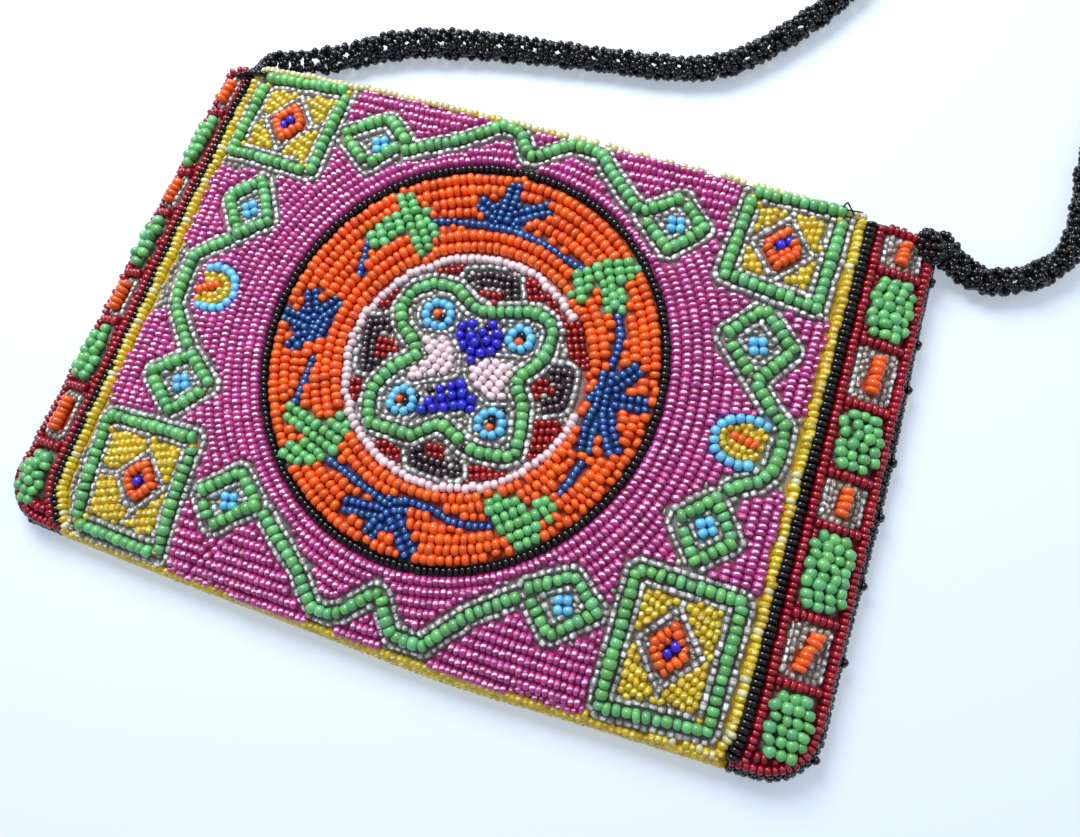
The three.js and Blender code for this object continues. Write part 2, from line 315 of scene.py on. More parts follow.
# Bead kinds: long is a bead's length on its thread and wide its diameter, in millimetres
beadKinds = {
    "magenta": {"long": 1.3, "wide": 2.3, "vary": 0.07},
    "green": {"long": 2.0, "wide": 2.75, "vary": 0.12},
    "orange": {"long": 1.75, "wide": 2.6, "vary": 0.1},
    "yellow": {"long": 1.35, "wide": 2.15, "vary": 0.08},
    "paleYellow": {"long": 1.3, "wide": 2.0, "vary": 0.08},
    "silver": {"long": 1.7, "wide": 1.7, "vary": 0.15},
    "clear": {"long": 1.6, "wide": 1.5, "vary": 0.14},
    "lightBlue": {"long": 1.95, "wide": 2.35, "vary": 0.07},
    "royalBlue": {"long": 1.95, "wide": 2.5, "vary": 0.08},
    "darkBlue": {"long": 1.45, "wide": 2.0, "vary": 0.09},
    "bandRed": {"long": 1.35, "wide": 2.35, "vary": 0.08},
    "wineRed": {"long": 1.35, "wide": 1.85, "vary": 0.08},
    "purple": {"long": 1.4, "wide": 1.9, "vary": 0.08},
    "palePink": {"long": 1.6, "wide": 2.2, "vary": 0.1},
    "black": {"long": 1.35, "wide": 2.0, "vary": 0.07},
}
kindNames = list(beadKinds)
kindNumber = {name: index + 1 for index, name in enumerate(kindNames)}

# What most kinds share, and each kind's own look; a kind with a core is glass over a bright hole, with
# painted glints, a painted tint beside them and a painted glow
glassLook = {"besideShare": 0.3, "paintedLowGlow": 0.5, "spread": 0.6, "drift": 0.03, "rough": 0.15, "shine": 0.5,
             "coat": 0.4}
opaqueLook = {"drift": 0.015, "rough": 0.25, "shine": 0.5, "coat": 0.4}
# In each look, core is the colour of the painted glint and beside the painted tint next to it: shade on most
# kinds, a lilac sheen on magenta
beadLooks = {
    "magenta": {
        "colour": colour(170, 58, 127), "core": colour(250, 220, 248), "beside": colour(192, 100, 170),
        "coreSize": (0.25, 0.56), "coreShare": 0.95, "besideShare": 0.45, "wander": 0.5, "paintedGlow": 0.14,
        "spread": 0.5, "rough": 0.16, "coat": 0.5},
    "yellow": {
        "colour": colour(190, 166, 32), "core": colour(253, 245, 176), "beside": colour(196, 166, 40),
        "coreSize": (0.26, 0.5), "coreShare": 0.7, "paintedLowGlow": 0.6, "wander": 0.9, "paintedGlow": 0.18,
        "spread": 0.45, "coat": 0.6},
    "paleYellow": {
        "colour": colour(208, 204, 146), "core": colour(252, 248, 222), "beside": colour(186, 180, 138),
        "coreSize": (0.3, 0.55), "coreShare": 0.6, "paintedLowGlow": 0.3, "wander": 0.8, "paintedGlow": 0.06,
        "spread": 0.35, "drift": 0.02, "coat": 0.6},
    "silver": {
        "colour": colour(146, 146, 146), "core": colour(253, 253, 253), "beside": colour(84, 83, 80),
        "coreSize": (0.55, 0.44), "coreShare": 0.95, "besideShare": 0.6, "paintedLowGlow": 0.3, "wander": 0.9,
        "paintedGlow": 0.06, "spread": 0.7, "drift": 0.0, "rough": 0.14, "coat": 0.8, "thread": True},
    "clear": {
        "colour": colour(142, 135, 126), "core": colour(244, 242, 240), "beside": colour(104, 99, 92),
        "coreSize": (0.46, 0.42), "coreShare": 0.6, "besideShare": 0.5, "paintedLowGlow": 0.3, "wander": 1.0,
        "paintedGlow": 0.05, "drift": 0.01, "rough": 0.14, "coat": 0.8, "thread": True},
    "darkBlue": {
        "colour": colour(28, 72, 138), "core": colour(122, 178, 224), "beside": colour(16, 40, 90),
        "coreSize": (0.5, 0.4), "coreShare": 0.42, "wander": 0.6, "paintedGlow": 0.08, "spread": 0.7,
        "thread": True},
    "wineRed": {
        "colour": colour(132, 5, 10), "core": colour(226, 66, 58), "beside": colour(96, 4, 12),
        "coreSize": (0.3, 0.5), "coreShare": 0.5, "paintedLowGlow": 0.6, "wander": 0.8, "paintedGlow": 0.1,
        "drift": 0.01},
    "purple": {
        "colour": colour(54, 37, 45), "core": colour(176, 156, 170), "beside": colour(36, 24, 32),
        "coreSize": (0.3, 0.45), "coreShare": 0.4, "wander": 0.6, "paintedGlow": 0.0, "drift": 0.02, "coat": 0.8},
    "bandRed": {
        "colour": colour(142, 8, 32), "core": colour(214, 96, 108), "beside": colour(112, 8, 30),
        "coreSize": (0.24, 0.5), "coreShare": 0.35, "wander": 0.4, "paintedGlow": 0.06, "spread": 0.5,
        "drift": 0.012, "rough": 0.16, "coat": 0.3},
    "green": {"colour": colour(107, 186, 114), "spread": 0.4, "drift": 0.04, "rough": 0.3},
    "orange": {"colour": colour(242, 98, 24), "spread": 0.3, "drift": 0.008},
    "lightBlue": {"colour": colour(110, 198, 246), "spread": 0.25, "rough": 0.22},
    "royalBlue": {"colour": colour(44, 38, 206), "spread": 0.4, "rough": 0.22},
    "palePink": {"colour": colour(240, 214, 222), "spread": 0.2, "drift": 0.02},
    "black": {"colour": colour(8, 7, 11), "spread": 0.6, "drift": 0.05, "rough": 0.12, "shine": 0.45,
              "coat": 0.25},
}
beadMaterials = {}
for kind, look in beadLooks.items():
    shared = glassLook if "core" in look else opaqueLook
    beadMaterials[kind] = beadMaterial(kind + "Beads", {**shared, **look})
print("bead finishes made:", len(beadMaterials))


# The pouch's form in millimetres, with the frame's sizes; pairs are at the bottom and at the mouth.
# Shares run from -1 to 1: u from left to right, v from the bottom to the mouth
pouch = {
    "leftEdge": (-96.2, -85.2), "rightEdge": (96.6, 93.8),
    "panelLeft": (-85.0, -79.8), "panelRight": (82.2, 79.4),
    "leftBow": 1.0, "leftCurl": 6.0, "rightCurl": -1.3, "curlFrom": 0.8,
    "bottom": -61.4, "bottomBow": 2.4, "bottomCorner": 10.0,
    "top": 60.4, "topTilt": -2.2, "topBow": 0.8, "topCorner": 3.0,
    "seamTop": 6.0, "domeHeight": 7.6, "acrossPower": 3.2, "acrossEase": 0.8,
    "alongPower": 4.0, "alongEase": 0.7, "mouthDrop": 0.35,
    "creaseDepth": 0.8, "creaseWidth": 2.2, "bandCrown": 0.7,
}


def between(pair, v):
    return pair[0] + (pair[1] - pair[0]) * (v + 1) / 2


def sewnEdge(side, v):
    return between(pouch["leftEdge" if side < 0 else "rightEdge"], v)


def acrossShare(x, v):
    left = sewnEdge(-1, v)
    return 2 * (x - left) / (sewnEdge(1, v) - left) - 1


def cornerInset(distance, radius):
    short = np.clip(radius - distance, 0, radius)
    return radius - np.sqrt(radius * radius - short * short)


def bottomEdge(x):
    u = np.clip(acrossShare(x, -1), -1, 1)
    inside = np.minimum(x - pouch["leftEdge"][0], pouch["rightEdge"][0] - x)
    return pouch["bottom"] - pouch["bottomBow"] * (1 - u * u) + cornerInset(inside, pouch["bottomCorner"])


def topEdge(x):
    u = np.clip(acrossShare(x, 1), -1, 1)
    inside = np.minimum(x - pouch["leftEdge"][1], pouch["rightEdge"][1] - x)
    straight = pouch["top"] + pouch["topTilt"] * u + pouch["topBow"] * (1 - u * u)
    return straight - cornerInset(inside, pouch["topCorner"])


def yAt(x, v):
    low, high = bottomEdge(x), topEdge(x)
    return low + (high - low) * (v + 1) / 2


def heightShare(x, y):
    low, high = bottomEdge(x), topEdge(x)
    return np.clip(2 * (y - low) / (high - low) - 1, -1, 1)


def panelEdge(side, v):
    curl = np.clip((-v - pouch["curlFrom"]) / (1 - pouch["curlFrom"]), 0, 1) ** 2
    if side < 0:
        return between(pouch["panelLeft"], v) + pouch["leftBow"] * (1 - v * v) + pouch["leftCurl"] * curl
    return between(pouch["panelRight"], v) + pouch["rightCurl"] * curl


# Height of the beaded front: a dome that drops to the seams, a crease beside each band, a crown on it
def frontHeight(x, y):
    x, y = np.asarray(x, float), np.asarray(y, float)
    v = heightShare(x, y)
    u = np.clip(acrossShare(x, v), -1, 1)
    across = (1 - np.abs(u) ** pouch["acrossPower"]) ** pouch["acrossEase"]
    low = (1 - np.abs(v) ** pouch["alongPower"]) ** pouch["alongEase"]
    high = 1 - pouch["mouthDrop"] * np.abs(v) ** pouch["alongPower"]
    rise = np.where(v < 0, low, high)
    edge = np.where(x < 0, panelEdge(-1, v), panelEdge(1, v))
    sewn = np.where(x < 0, sewnEdge(-1, v), sewnEdge(1, v))
    beyond = np.sign(sewn) * (x - edge)
    bandShare = np.clip(beyond / np.abs(sewn - edge), 0, 1)
    crease = pouch["creaseDepth"] * np.exp(-((beyond / pouch["creaseWidth"]) ** 2)) * rise
    crown = pouch["bandCrown"] * np.sin(np.pi * bandShare) * rise
    return pouch["seamTop"] + pouch["domeHeight"] * across * rise - crease + crown


def frontNormal(x, y, step=0.3):
    slopeX = (frontHeight(x + step, y) - frontHeight(x - step, y)) / (2 * step)
    slopeY = (frontHeight(x, y + step) - frontHeight(x, y - step)) / (2 * step)
    normal = np.stack([-slopeX, -slopeY, np.ones_like(slopeX)], axis=-1)
    return normal / np.linalg.norm(normal, axis=-1, keepdims=True)


# Rows are planned flat, on a fine grid that keeps which kind of bead covers each cell
plan = {"cell": 0.16, "left": -102.0, "bottom": -70.0, "wide": 204.0, "high": 140.0}
planX = plan["left"] + plan["cell"] * (np.arange(int(plan["wide"] / plan["cell"])) + 0.5)
planY = plan["bottom"] + plan["cell"] * (np.arange(int(plan["high"] / plan["cell"])) + 0.5)
gridX, gridY = np.meshgrid(planX, planY)
covered = np.zeros(gridX.shape, np.uint8)
laid = {name: [] for name in kindNames}
quarter = math.pi / 2
lineStep = 0.2  # from point to point on a fine line
rowPitch = 1.03  # from bead to bead in a row, in bead lengths
bandPitch = 1.02
gapStep = 3  # cells between the places where a gap is looked for
gapTurn = 8.0

# Beads of a kind differ: the least and most share of their size, and the scatter of their height
differ = {"long": (0.82, 1.18), "wide": (0.85, 1.15), "wideShare": 0.7, "lift": 0.05}


def sizeOf(kind, long, wide):
    return long or beadKinds[kind]["long"], wide or beadKinds[kind]["wide"]


def cellAt(x, y):
    column = min(max(int((x - plan["left"]) / plan["cell"]), 0), covered.shape[1] - 1)
    row = min(max(int((y - plan["bottom"]) / plan["cell"]), 0), covered.shape[0] - 1)
    return row, column


# The cells under a bead, which is a square with round corners as seen from above
def footprint(x, y, angle, long, wide):
    reach = 0.5 * math.hypot(long, wide)
    columns = slice(max(0, int((x - reach - plan["left"]) / plan["cell"])),
                    int((x + reach - plan["left"]) / plan["cell"]) + 2)
    rows = slice(max(0, int((y - reach - plan["bottom"]) / plan["cell"])),
                 int((y + reach - plan["bottom"]) / plan["cell"]) + 2)
    dx = planX[columns][None, :] - x
    dy = planY[rows][:, None] - y
    wayX, wayY = math.cos(angle), math.sin(angle)
    alongShare = np.abs(dx * wayX + dy * wayY) * (2 / long)
    sideShare = np.abs(dy * wayX - dx * wayY) * (2 / wide)
    return rows, columns, alongShare ** 4 + sideShare ** 4 < 1


def crowding(x, y, angle, long, wide):
    rows, columns, shape = footprint(x, y, angle, long, wide)
    return np.count_nonzero(covered[rows, columns][shape]) / max(1, np.count_nonzero(shape))


# One bead, lifted off its seat and turned by a few random degrees
def lay(kind, x, y, angle, long=None, wide=None, lift=0.0, turn=3.0):
    vary = beadKinds[kind]["vary"]
    long, wide = sizeOf(kind, long, wide)
    long = long * np.clip(dice.normal(1, vary), *differ["long"])
    wide = wide * np.clip(dice.normal(1, differ["wideShare"] * vary), *differ["wide"])
    angle = angle + math.radians(dice.normal(0, turn))
    rows, columns, shape = footprint(x, y, angle, long, wide)
    covered[rows, columns][shape] = kindNumber[kind]
    laid[kind].append((x, y, angle, long, wide, lift + dice.normal(0, differ["lift"])))


def evenly(points):
    steps = np.hypot(*np.diff(points, axis=0).T)
    reach = np.concatenate([[0], np.cumsum(steps)])
    count = max(2, int(round(reach[-1] / lineStep)) + 1)
    places = np.linspace(0, reach[-1], count)
    return np.stack([np.interp(places, reach, points[:, k]) for k in range(points.shape[1])], axis=1)


# A fine line through points, straight between them or rounded
def lineThrough(points, closed=False, rounded=False):
    points = np.array(points, float)
    if closed:
        points = np.vstack([points, points[:1]])
    if not rounded:
        return evenly(points)
    knots = np.vstack([2 * points[:1] - points[1:2], points, 2 * points[-1:] - points[-2:-1]])
    t = np.linspace(0, 1, num=16, endpoint=False)[:, None]
    spans = []
    for before, start, end, after in zip(knots[:-3], knots[1:-2], knots[2:-1], knots[3:]):
        spans.append(0.5 * (2 * start + (end - before) * t
                            + (2 * before - 5 * start + 4 * end - after) * t ** 2
                            + (3 * start - before - 3 * end + after) * t ** 3))
    return evenly(np.vstack(spans + [points[-1:]]))


def ellipseLine(centre, radii, fromTurn=0.0, toTurn=1.0):
    count = int(2 * math.pi * max(radii) * abs(toTurn - fromTurn) / lineStep) + 8
    angles = 2 * math.pi * np.linspace(fromTurn, toTurn, count)
    x, y = centre[0] + radii[0] * np.cos(angles), centre[1] + radii[1] * np.sin(angles)
    return evenly(np.stack([x, y], axis=1))


def directions(line):
    ways = np.gradient(line, axis=0)
    return np.arctan2(ways[:, 1], ways[:, 0])


# One row with beads spread evenly along its line; where too much of a bead would overlap, it is left out.
# A row can take a share of its beads from another kind
def layRow(kind, line, overlap=0.3, long=None, wide=None, lift=0.0, turn=3.0, wander=0.07, other=None):
    long, wide = sizeOf(kind, long, wide)
    angles = directions(line)
    count = max(1, int(round(lineStep * (len(line) - 1) / (long * rowPitch))))
    for k in range(count):
        index = int((k + 0.5) / count * (len(line) - 1))
        angle = angles[index]
        aside = dice.normal(0, wander)
        x, y = line[index] + aside * np.array([-math.sin(angle), math.cos(angle)])
        if crowding(x, y, angle, long, wide) < overlap:
            mixed = other and dice.random() < other[1]
            lay(other[0] if mixed else kind, x, y, angle, long, wide, lift, turn)


# Rows strung along lines, one bead after another wherever there is room in the allowed part
def fillRows(kind, lines, allowed, overlap, long=None, wide=None, lift=0.0, turn=3.0):
    long, wide = sizeOf(kind, long, wide)
    for line in lines:
        angles = directions(line)
        index = int(dice.integers(0, 4))
        while index < len(line):
            x, y = line[index]
            cell = cellAt(x, y)
            room = allowed[cell] and not covered[cell]
            if room and crowding(x, y, angles[index], long, wide) < overlap:
                lay(kind, x, y, angles[index], long, wide, lift, turn)
                index += max(1, int(round(long * rowPitch / lineStep)))
            else:
                index += 1


# Beads set into the holes that the rows leave, at one angle or at an angle by place
def fillGaps(kind, allowed, angle, overlap, long, wide, lift=0.0):
    free = np.argwhere(allowed[::gapStep, ::gapStep] & (covered[::gapStep, ::gapStep] == 0)) * gapStep
    for row, column in dice.permutation(free):
        if covered[row, column]:
            continue
        x, y = planX[column], planY[row]
        way = angle(x, y) if callable(angle) else angle
        for tried in (way, way + quarter):
            if crowding(x, y, tried, long, wide) < overlap:
                lay(kind, x, y, tried, long, wide, lift, gapTurn)
                break


# The line moved sideways, in the stretches that stay clear of the first line
beside = {"slack": 0.12, "jump": 1.2}


def besideLine(line, distance, closed=False):
    ways = np.gradient(line, axis=0)
    ways /= np.maximum(np.linalg.norm(ways, axis=1, keepdims=True), 1e-9)
    moved = line + distance * np.stack([-ways[:, 1], ways[:, 0]], axis=1)
    nearest = np.array([np.min(np.hypot(*(line[::2] - point).T)) for point in moved])
    clear = nearest > abs(distance) - beside["slack"]
    stretches, current = [], []
    for point, keep in zip(moved, clear):
        if keep and (not current or np.hypot(*(point - current[-1])) < beside["jump"] + abs(distance)):
            current.append(point)
        elif keep:
            stretches.append(current)
            current = [point]
    stretches.append(current)
    if closed and len(stretches) == 1 and len(stretches[0]) > 2:
        stretches[0].append(stretches[0][0])
    return [evenly(np.array(part)) for part in stretches if len(part) > 3]


def bothSides(line, distance):
    return besideLine(line, distance) + besideLine(line, -distance)


def strokeMask(lines, halfWidth):
    mask = np.zeros(covered.shape, bool)
    for line in lines:
        points = np.array(line, float)
        if len(points) == 1:
            points = np.vstack([points, points + 0.01])
        for start, end in zip(points[:-1], points[1:]):
            low = cellAt(*(np.minimum(start, end) - halfWidth))
            high = cellAt(*(np.maximum(start, end) + halfWidth))
            box = slice(low[0], high[0] + 1), slice(low[1], high[1] + 1)
            fromX, fromY = gridX[box] - start[0], gridY[box] - start[1]
            way = end - start
            share = np.clip((fromX * way[0] + fromY * way[1]) / max(way @ way, 1e-9), 0, 1)
            mask[box] |= np.hypot(fromX - share * way[0], fromY - share * way[1]) < halfWidth
    return mask


def polygonMask(points):
    points = np.array(points, float)
    inside = np.zeros(covered.shape, bool)
    for (ax, ay), (bx, by) in zip(points, np.roll(points, -1, axis=0)):
        crosses = (gridY >= min(ay, by)) & (gridY < max(ay, by))
        if ay != by:
            inside ^= crosses & (gridX < ax + (gridY - ay) * (bx - ax) / (by - ay))
    return inside


def ellipseMask(centre, radii, grow=0.0):
    across = (gridX - centre[0]) / (radii[0] + grow)
    return across ** 2 + ((gridY - centre[1]) / (radii[1] + grow)) ** 2 < 1


def straightLines(angle, spacing, reach, middle=(0.0, 0.0)):
    way = np.array([math.cos(angle), math.sin(angle)])
    aside = np.array([-way[1], way[0]]) * spacing
    lines = []
    for k in range(-int(reach / spacing), int(reach / spacing) + 1):
        base = np.array(middle) + aside * k
        lines.append(evenly(np.array([base - reach * way, base + reach * way])))
    return lines


# Green lines with a silver row on each side, which stops short of the mouth
silverRow = {"closer": 0.1, "fromMouth": 0.7, "overlap": 0.22}


def greenLine(points, closed=False):
    line = lineThrough(points, closed)
    layRow("green", line, overlap=0.28, lift=0.25, turn=8.0)
    return line


def silverBeside(line, closed=False):
    distance = (beadKinds["green"]["wide"] + beadKinds["silver"]["wide"]) / 2 - silverRow["closer"]
    for side in (-1, 1):
        for part in besideLine(line, side * distance, closed):
            part = part[part[:, 1] < topEdge(part[:, 0]) - silverRow["fromMouth"]]
            if len(part) > 4:
                layRow("silver", part, overlap=silverRow["overlap"])


# Corner squares: green frame, silver cross and diamond, orange heart with blue beads, yellow between
cornerSquares = [
    {"corners": [(-73, 60), (-50, 60.3), (-50.5, 36.5), (-74, 38.5)],
     "heart": (-62, 48.7), "heartSize": (5.0, 6.0), "blue": [(-61.6, 49.3), (-62.8, 47.6)]},
    {"corners": [(53, 58), (73.5, 58.5), (73, 34.5), (52, 36.5)],
     "heart": (62.5, 46), "heartSize": (5.0, 6.0), "blue": [(62, 46.6), (63.6, 48)]},
    {"corners": [(-76.5, -33.5), (-52, -33), (-52.5, -60), (-75.5, -59.5)],
     "heart": (-62.5, -46), "heartSize": (5.0, 5.6), "blue": [(-62.8, -46.2)]},
    {"corners": [(52.7, -31), (75, -31), (75.3, -57.5), (53, -59.5)],
     "heart": (63.5, -44.5), "heartSize": (5.0, 6.4), "blue": [(64.6, -43.6), (63.4, -45.4)]},
]
squareLook = {"orange": 0.72, "silver": (1.38, 1.33), "crossEnd": 0.78, "slant": 0.35}

# Corners of each small diamond: left, top, right, bottom; and the middle of its blue beads
smallDiamonds = [
    {"corners": [(-46.5, 48.5), (-36.5, 55), (-30, 50), (-37, 41.5)], "heart": (-36, 47.8)},
    {"corners": [(30, 46), (38, 52), (45, 45.5), (38.5, 38.5)], "heart": (38.5, 45.2)},
    {"corners": [(-69, 26), (-62, 32), (-56, 22), (-62.5, 17)], "heart": (-62.3, 24)},
    {"corners": [(56, 23), (62.5, 31), (71, 23.5), (65, 14.5)], "heart": (63.5, 22.5)},
    {"corners": [(-70.5, -21), (-61.5, -14.5), (-53.5, -20.5), (-61.5, -28.5)], "heart": (-61.5, -21.5)},
    {"corners": [(57.5, -18.5), (64, -12), (69.8, -20), (63.5, -26)], "heart": (63.8, -18.5)},
    {"corners": [(-46.5, -44), (-38.5, -37), (-32, -42.5), (-41.5, -50.5)], "heart": (-39, -44)},
    {"corners": [(31.5, -42), (40.5, -36.5), (47.5, -42), (39, -49.5)], "heart": (40.2, -42.8)},
]
diamondSlants = (0.2, 0.6)
diamondBlue = [(-1.05, -1.0), (-1.0, 1.05), (1.05, -1.05), (1.0, 1.0)]

zigzags = [
    [(-30, 47), (-17, 53.5), (-10, 58.5), (-8, 60), (-5, 59.5), (-2.5, 57.5), (0, 53.5), (2, 53.5), (6, 56.5),
     (9, 58.8), (13, 58.8), (17, 58), (20, 54.5), (25, 50), (30, 46)],
    [(-62, 17), (-68, 12.5), (-72, 9.5), (-72, 0), (-71, -4), (-68, -7.5), (-64, -12), (-61.5, -14.5)],
    [(65, 14.5), (70, 9.5), (73.5, 7), (74, 3), (74, 0), (73.3, -3), (71.5, -6), (67, -8.5), (64, -12)],
    [(-32, -42.5), (-27, -46.5), (-18, -53.5), (-15, -57.5), (-12.5, -59.8), (-9, -59.8), (-6, -58.5),
     (0.5, -52.5), (2, -53), (4, -56.5), (6.5, -59.8), (13.5, -59.8), (15.5, -57.5),
     (22, -50.5), (31, -43.5)],
]


def laySquares():
    growX, growY = squareLook["silver"]
    for square in cornerSquares:
        square["line"] = greenLine(square["corners"], closed=True)
    for square in cornerSquares:
        corners = np.array(square["corners"])
        cx, cy = square["heart"]
        halfX, halfY = square["heartSize"]
        tips = [(-halfX, 0), (0, halfY), (halfX, 0), (0, -halfY)]
        shrunk = [(cx + squareLook["orange"] * dx, cy + squareLook["orange"] * dy) for dx, dy in tips]
        grown = [(cx + growX * dx, cy + growY * dy) for dx, dy in tips]
        for x, y in square["blue"]:
            lay("royalBlue", x, y, 0.5, long=2.1, wide=2.5, lift=0.15, turn=30.0)
        layRow("orange", lineThrough(shrunk, closed=True), overlap=0.5, long=1.6, wide=2.5, lift=0.15,
               turn=10.0)
        silverBeside(square["line"], closed=True)
        layRow("silver", lineThrough(grown, closed=True))
        middle = np.mean(corners, axis=0)
        for tip, (first, second) in zip(grown, ((0, 3), (0, 1), (1, 2), (2, 3))):
            goal = (corners[first] + corners[second]) / 2
            layRow("silver", lineThrough([tip, middle + squareLook["crossEnd"] * (goal - middle)]))
        framed = polygonMask(corners)
        inside = framed & ~polygonMask(grown)
        slant = squareLook["slant"] if cx * cy > 0 else -squareLook["slant"]
        fillGaps("orange", polygonMask(shrunk), slant, overlap=0.4, long=1.4, wide=1.9, lift=0.1)
        rows = straightLines(slant, spacing=1.85, reach=16.0, middle=(cx, cy))
        fillRows("yellow", rows, inside, overlap=0.2, wide=2.05, turn=20.0)
        fillGaps("yellow", inside, slant, overlap=0.3, long=1.2, wide=1.7)
        fillGaps("clear", framed, slant, overlap=0.35, long=1.3, wide=1.2)


def layDiamonds():
    for diamond in smallDiamonds:
        diamond["line"] = greenLine(diamond["corners"], closed=True)


def fillDiamonds():
    for diamond in smallDiamonds:
        cx, cy = diamond["heart"]
        slant = dice.uniform(*diamondSlants)
        wayX, wayY = math.cos(slant), math.sin(slant)
        for along, across in diamondBlue:
            x, y = cx + along * wayX - across * wayY, cy + along * wayY + across * wayX
            lay("lightBlue", x, y, slant, long=1.95, wide=2.15, lift=0.1, turn=12.0)
        silverBeside(diamond["line"], closed=True)
        fillGaps("clear", polygonMask(diamond["corners"]), slant, overlap=0.3, long=1.4, wide=1.3)


# Eyes: a blue arch open to the zigzag, yellow rows and an orange heart
eyes = [
    {"arch": [(-67, 7), (-63, 7.8), (-59, 6.5), (-57.5, 3.5), (-57.5, 1), (-59, -1.5), (-62, -2.5),
              (-66.5, -2.5)],
     "heart": (-64.5, 2.5), "tilt": 0.5, "column": [(-69.5, 7), (-69.6, 2), (-69, -4)]},
    {"arch": [(71, 5.5), (67, 6.5), (62, 5), (60, 2), (60.5, -1.5), (63, -3.5), (66, -4), (69.5, -3)],
     "heart": (66.3, 1.6), "tilt": -0.15, "column": [(71.4, 4), (71.6, 0), (71.2, -2.5)]},
]
eyeHeart = {"beads": 4, "pitch": 1.5, "rings": (1.9, 3.6), "longer": 1.2}


def layEyes():
    for eye in eyes:
        layRow("lightBlue", lineThrough(eye["arch"], rounded=True), lift=0.1)
        cx, cy = eye["heart"]
        for k in range(eyeHeart["beads"]):
            step = (k - (eyeHeart["beads"] - 1) / 2) * eyeHeart["pitch"]
            x, y = cx + step * math.cos(eye["tilt"]), cy + step * math.sin(eye["tilt"])
            lay("orange", x, y, eye["tilt"], long=1.5, wide=2.4, lift=0.1, turn=12.0)
        layRow("silver", lineThrough(eye["column"]))
        inside = polygonMask(eye["arch"])
        rings = [ellipseLine(eye["heart"], (r + eyeHeart["longer"], r)) for r in eyeHeart["rings"]]
        fillRows("yellow", rings, inside, overlap=0.25, wide=1.8)
        fillGaps("yellow", inside, angle=0.2, overlap=0.25, long=1.2, wide=1.7)


# Medallion: orange rows between a pale ring and a black one, with blue flowers and green sprigs
medallion = {
    "paleRing": {"centre": (3.2, -0.7), "radii": (27.3, 26.7), "turns": (0.115, 0.985)},
    "blackRing": {"centre": (1.3, 1.6), "radii": (45.8, 47.2)},
    "rows": 7, "turns": (0.03, 1.03), "petalRow": 1.0, "sprigHalf": 2.0,
}
blueFlowers = [
    {"heart": (0.5, 37.0), "size": 4.1, "rowAngle": 0.0,
     "petals": [[(0, 34), (0, 46)], [(0, 36), (-7.5, 39.3)], [(1, 36.5), (9.8, 41.8)], [(0, 35), (5, 36)]],
     "stems": [[(-16, 31.5), (-10, 33), (0, 34), (10, 33), (17, 30.7), (22, 29)]]},
    {"heart": (-35.5, 0.5), "size": 4.2, "rowAngle": 1.45,
     "petals": [[(-36, 0), (-43, 1.0)], [(-36, 3), (-38.5, 8.2)], [(-34, 3), (-30.5, 7.6)],
                [(-36, -3), (-38.7, -7)]],
     "stems": [[(-29.5, 23), (-28.5, 14)], [(-31.8, -7), (-32, -19)]]},
    {"heart": (35.6, 2.0), "size": 3.6, "rowAngle": 1.65,
     "petals": [[(36, 4.5), (38.8, 8), (40.8, 10.6)], [(37, 1.8), (45, 2.9)],
                [(36.6, -1), (38.4, -5), (41.2, -9.6)], [(34.6, -1), (34.2, -5.5), (34.8, -11)],
                [(34.8, 4), (34.2, 8)]],
     "stems": [[(32.4, 21), (34.3, 16.8), (34.8, 12.7), (34.2, 8.5)],
               [(35, -12.8), (34, -16), (32.5, -21.5)]]},
    {"heart": (-3.0, -36.0), "size": 4.1, "rowAngle": 0.3,
     "petals": [[(-3, -36), (-13, -37)], [(-1, -36), (5.5, -43)], [(-3, -37), (-5.5, -42)],
                [(-2, -34), (2, -33)]],
     "stems": [[(-19.5, -28.5), (-10, -31.8), (-3, -34)], [(0, -32), (8, -32.5), (12, -33.5), (21, -32)]]},
]
greenSprigs = [
    {"rowAngle": -0.9, "strokes": [[(-24, 34.2), (-20, 31), (-18, 28)], [(-21, 31), (-25, 28), (-27, 24)],
                                   [(-18.5, 31.5), (-15.5, 28), (-16.5, 25)]]},
    {"rowAngle": -1.1, "strokes": [[(23, 27), (27.4, 29.8), (31.8, 31.5)],
                                   [(27.8, 29.5), (30, 25.6), (31.4, 22.4)],
                                   [(22.6, 26.4), (22.6, 23.6)]]},
    {"rowAngle": -0.3, "strokes": [[(-31, -20.8), (-25, -24), (-19.5, -26)], [(-20, -20.5), (-20, -24)],
                                   [(-28.5, -29.8), (-23, -28)], [(-26, -22), (-24, -27)]]},
    {"rowAngle": 0.7, "strokes": [[(20.5, -27.5), (25, -31)], [(31, -25), (25.5, -29)],
                                  [(28, -28), (29, -33)], [(24, -27), (28, -31)]]},
]


# A row between the rings, at a share of the way from the pale one to the black one
def medallionLine(share):
    mix = []
    for key in ("centre", "radii"):
        inner, outer = np.array(medallion["paleRing"][key]), np.array(medallion["blackRing"][key])
        mix.append(inner + share * (outer - inner))
    return ellipseLine(*mix, *medallion["turns"])


# The way of a row that goes round the medallion
def ringAngle(x, y):
    cx, cy = medallion["blackRing"]["centre"]
    return math.atan2(y - cy, x - cx) + quarter


def layFlower(flower, area):
    for stem in flower["stems"]:
        layRow("darkBlue", lineThrough(stem, rounded=True), wide=1.95)
    for petal in flower["petals"]:
        for line in bothSides(lineThrough(petal), medallion["petalRow"]):
            layRow("darkBlue", line, overlap=0.35, turn=8.0)
    shape = strokeMask([[flower["heart"]]], flower["size"]) & area
    rows = straightLines(flower["rowAngle"], spacing=1.75, reach=16.0, middle=flower["heart"])
    fillRows("darkBlue", rows, shape, overlap=0.2, turn=14.0)
    fillGaps("darkBlue", shape, flower["rowAngle"], overlap=0.3, long=1.1, wide=1.5)


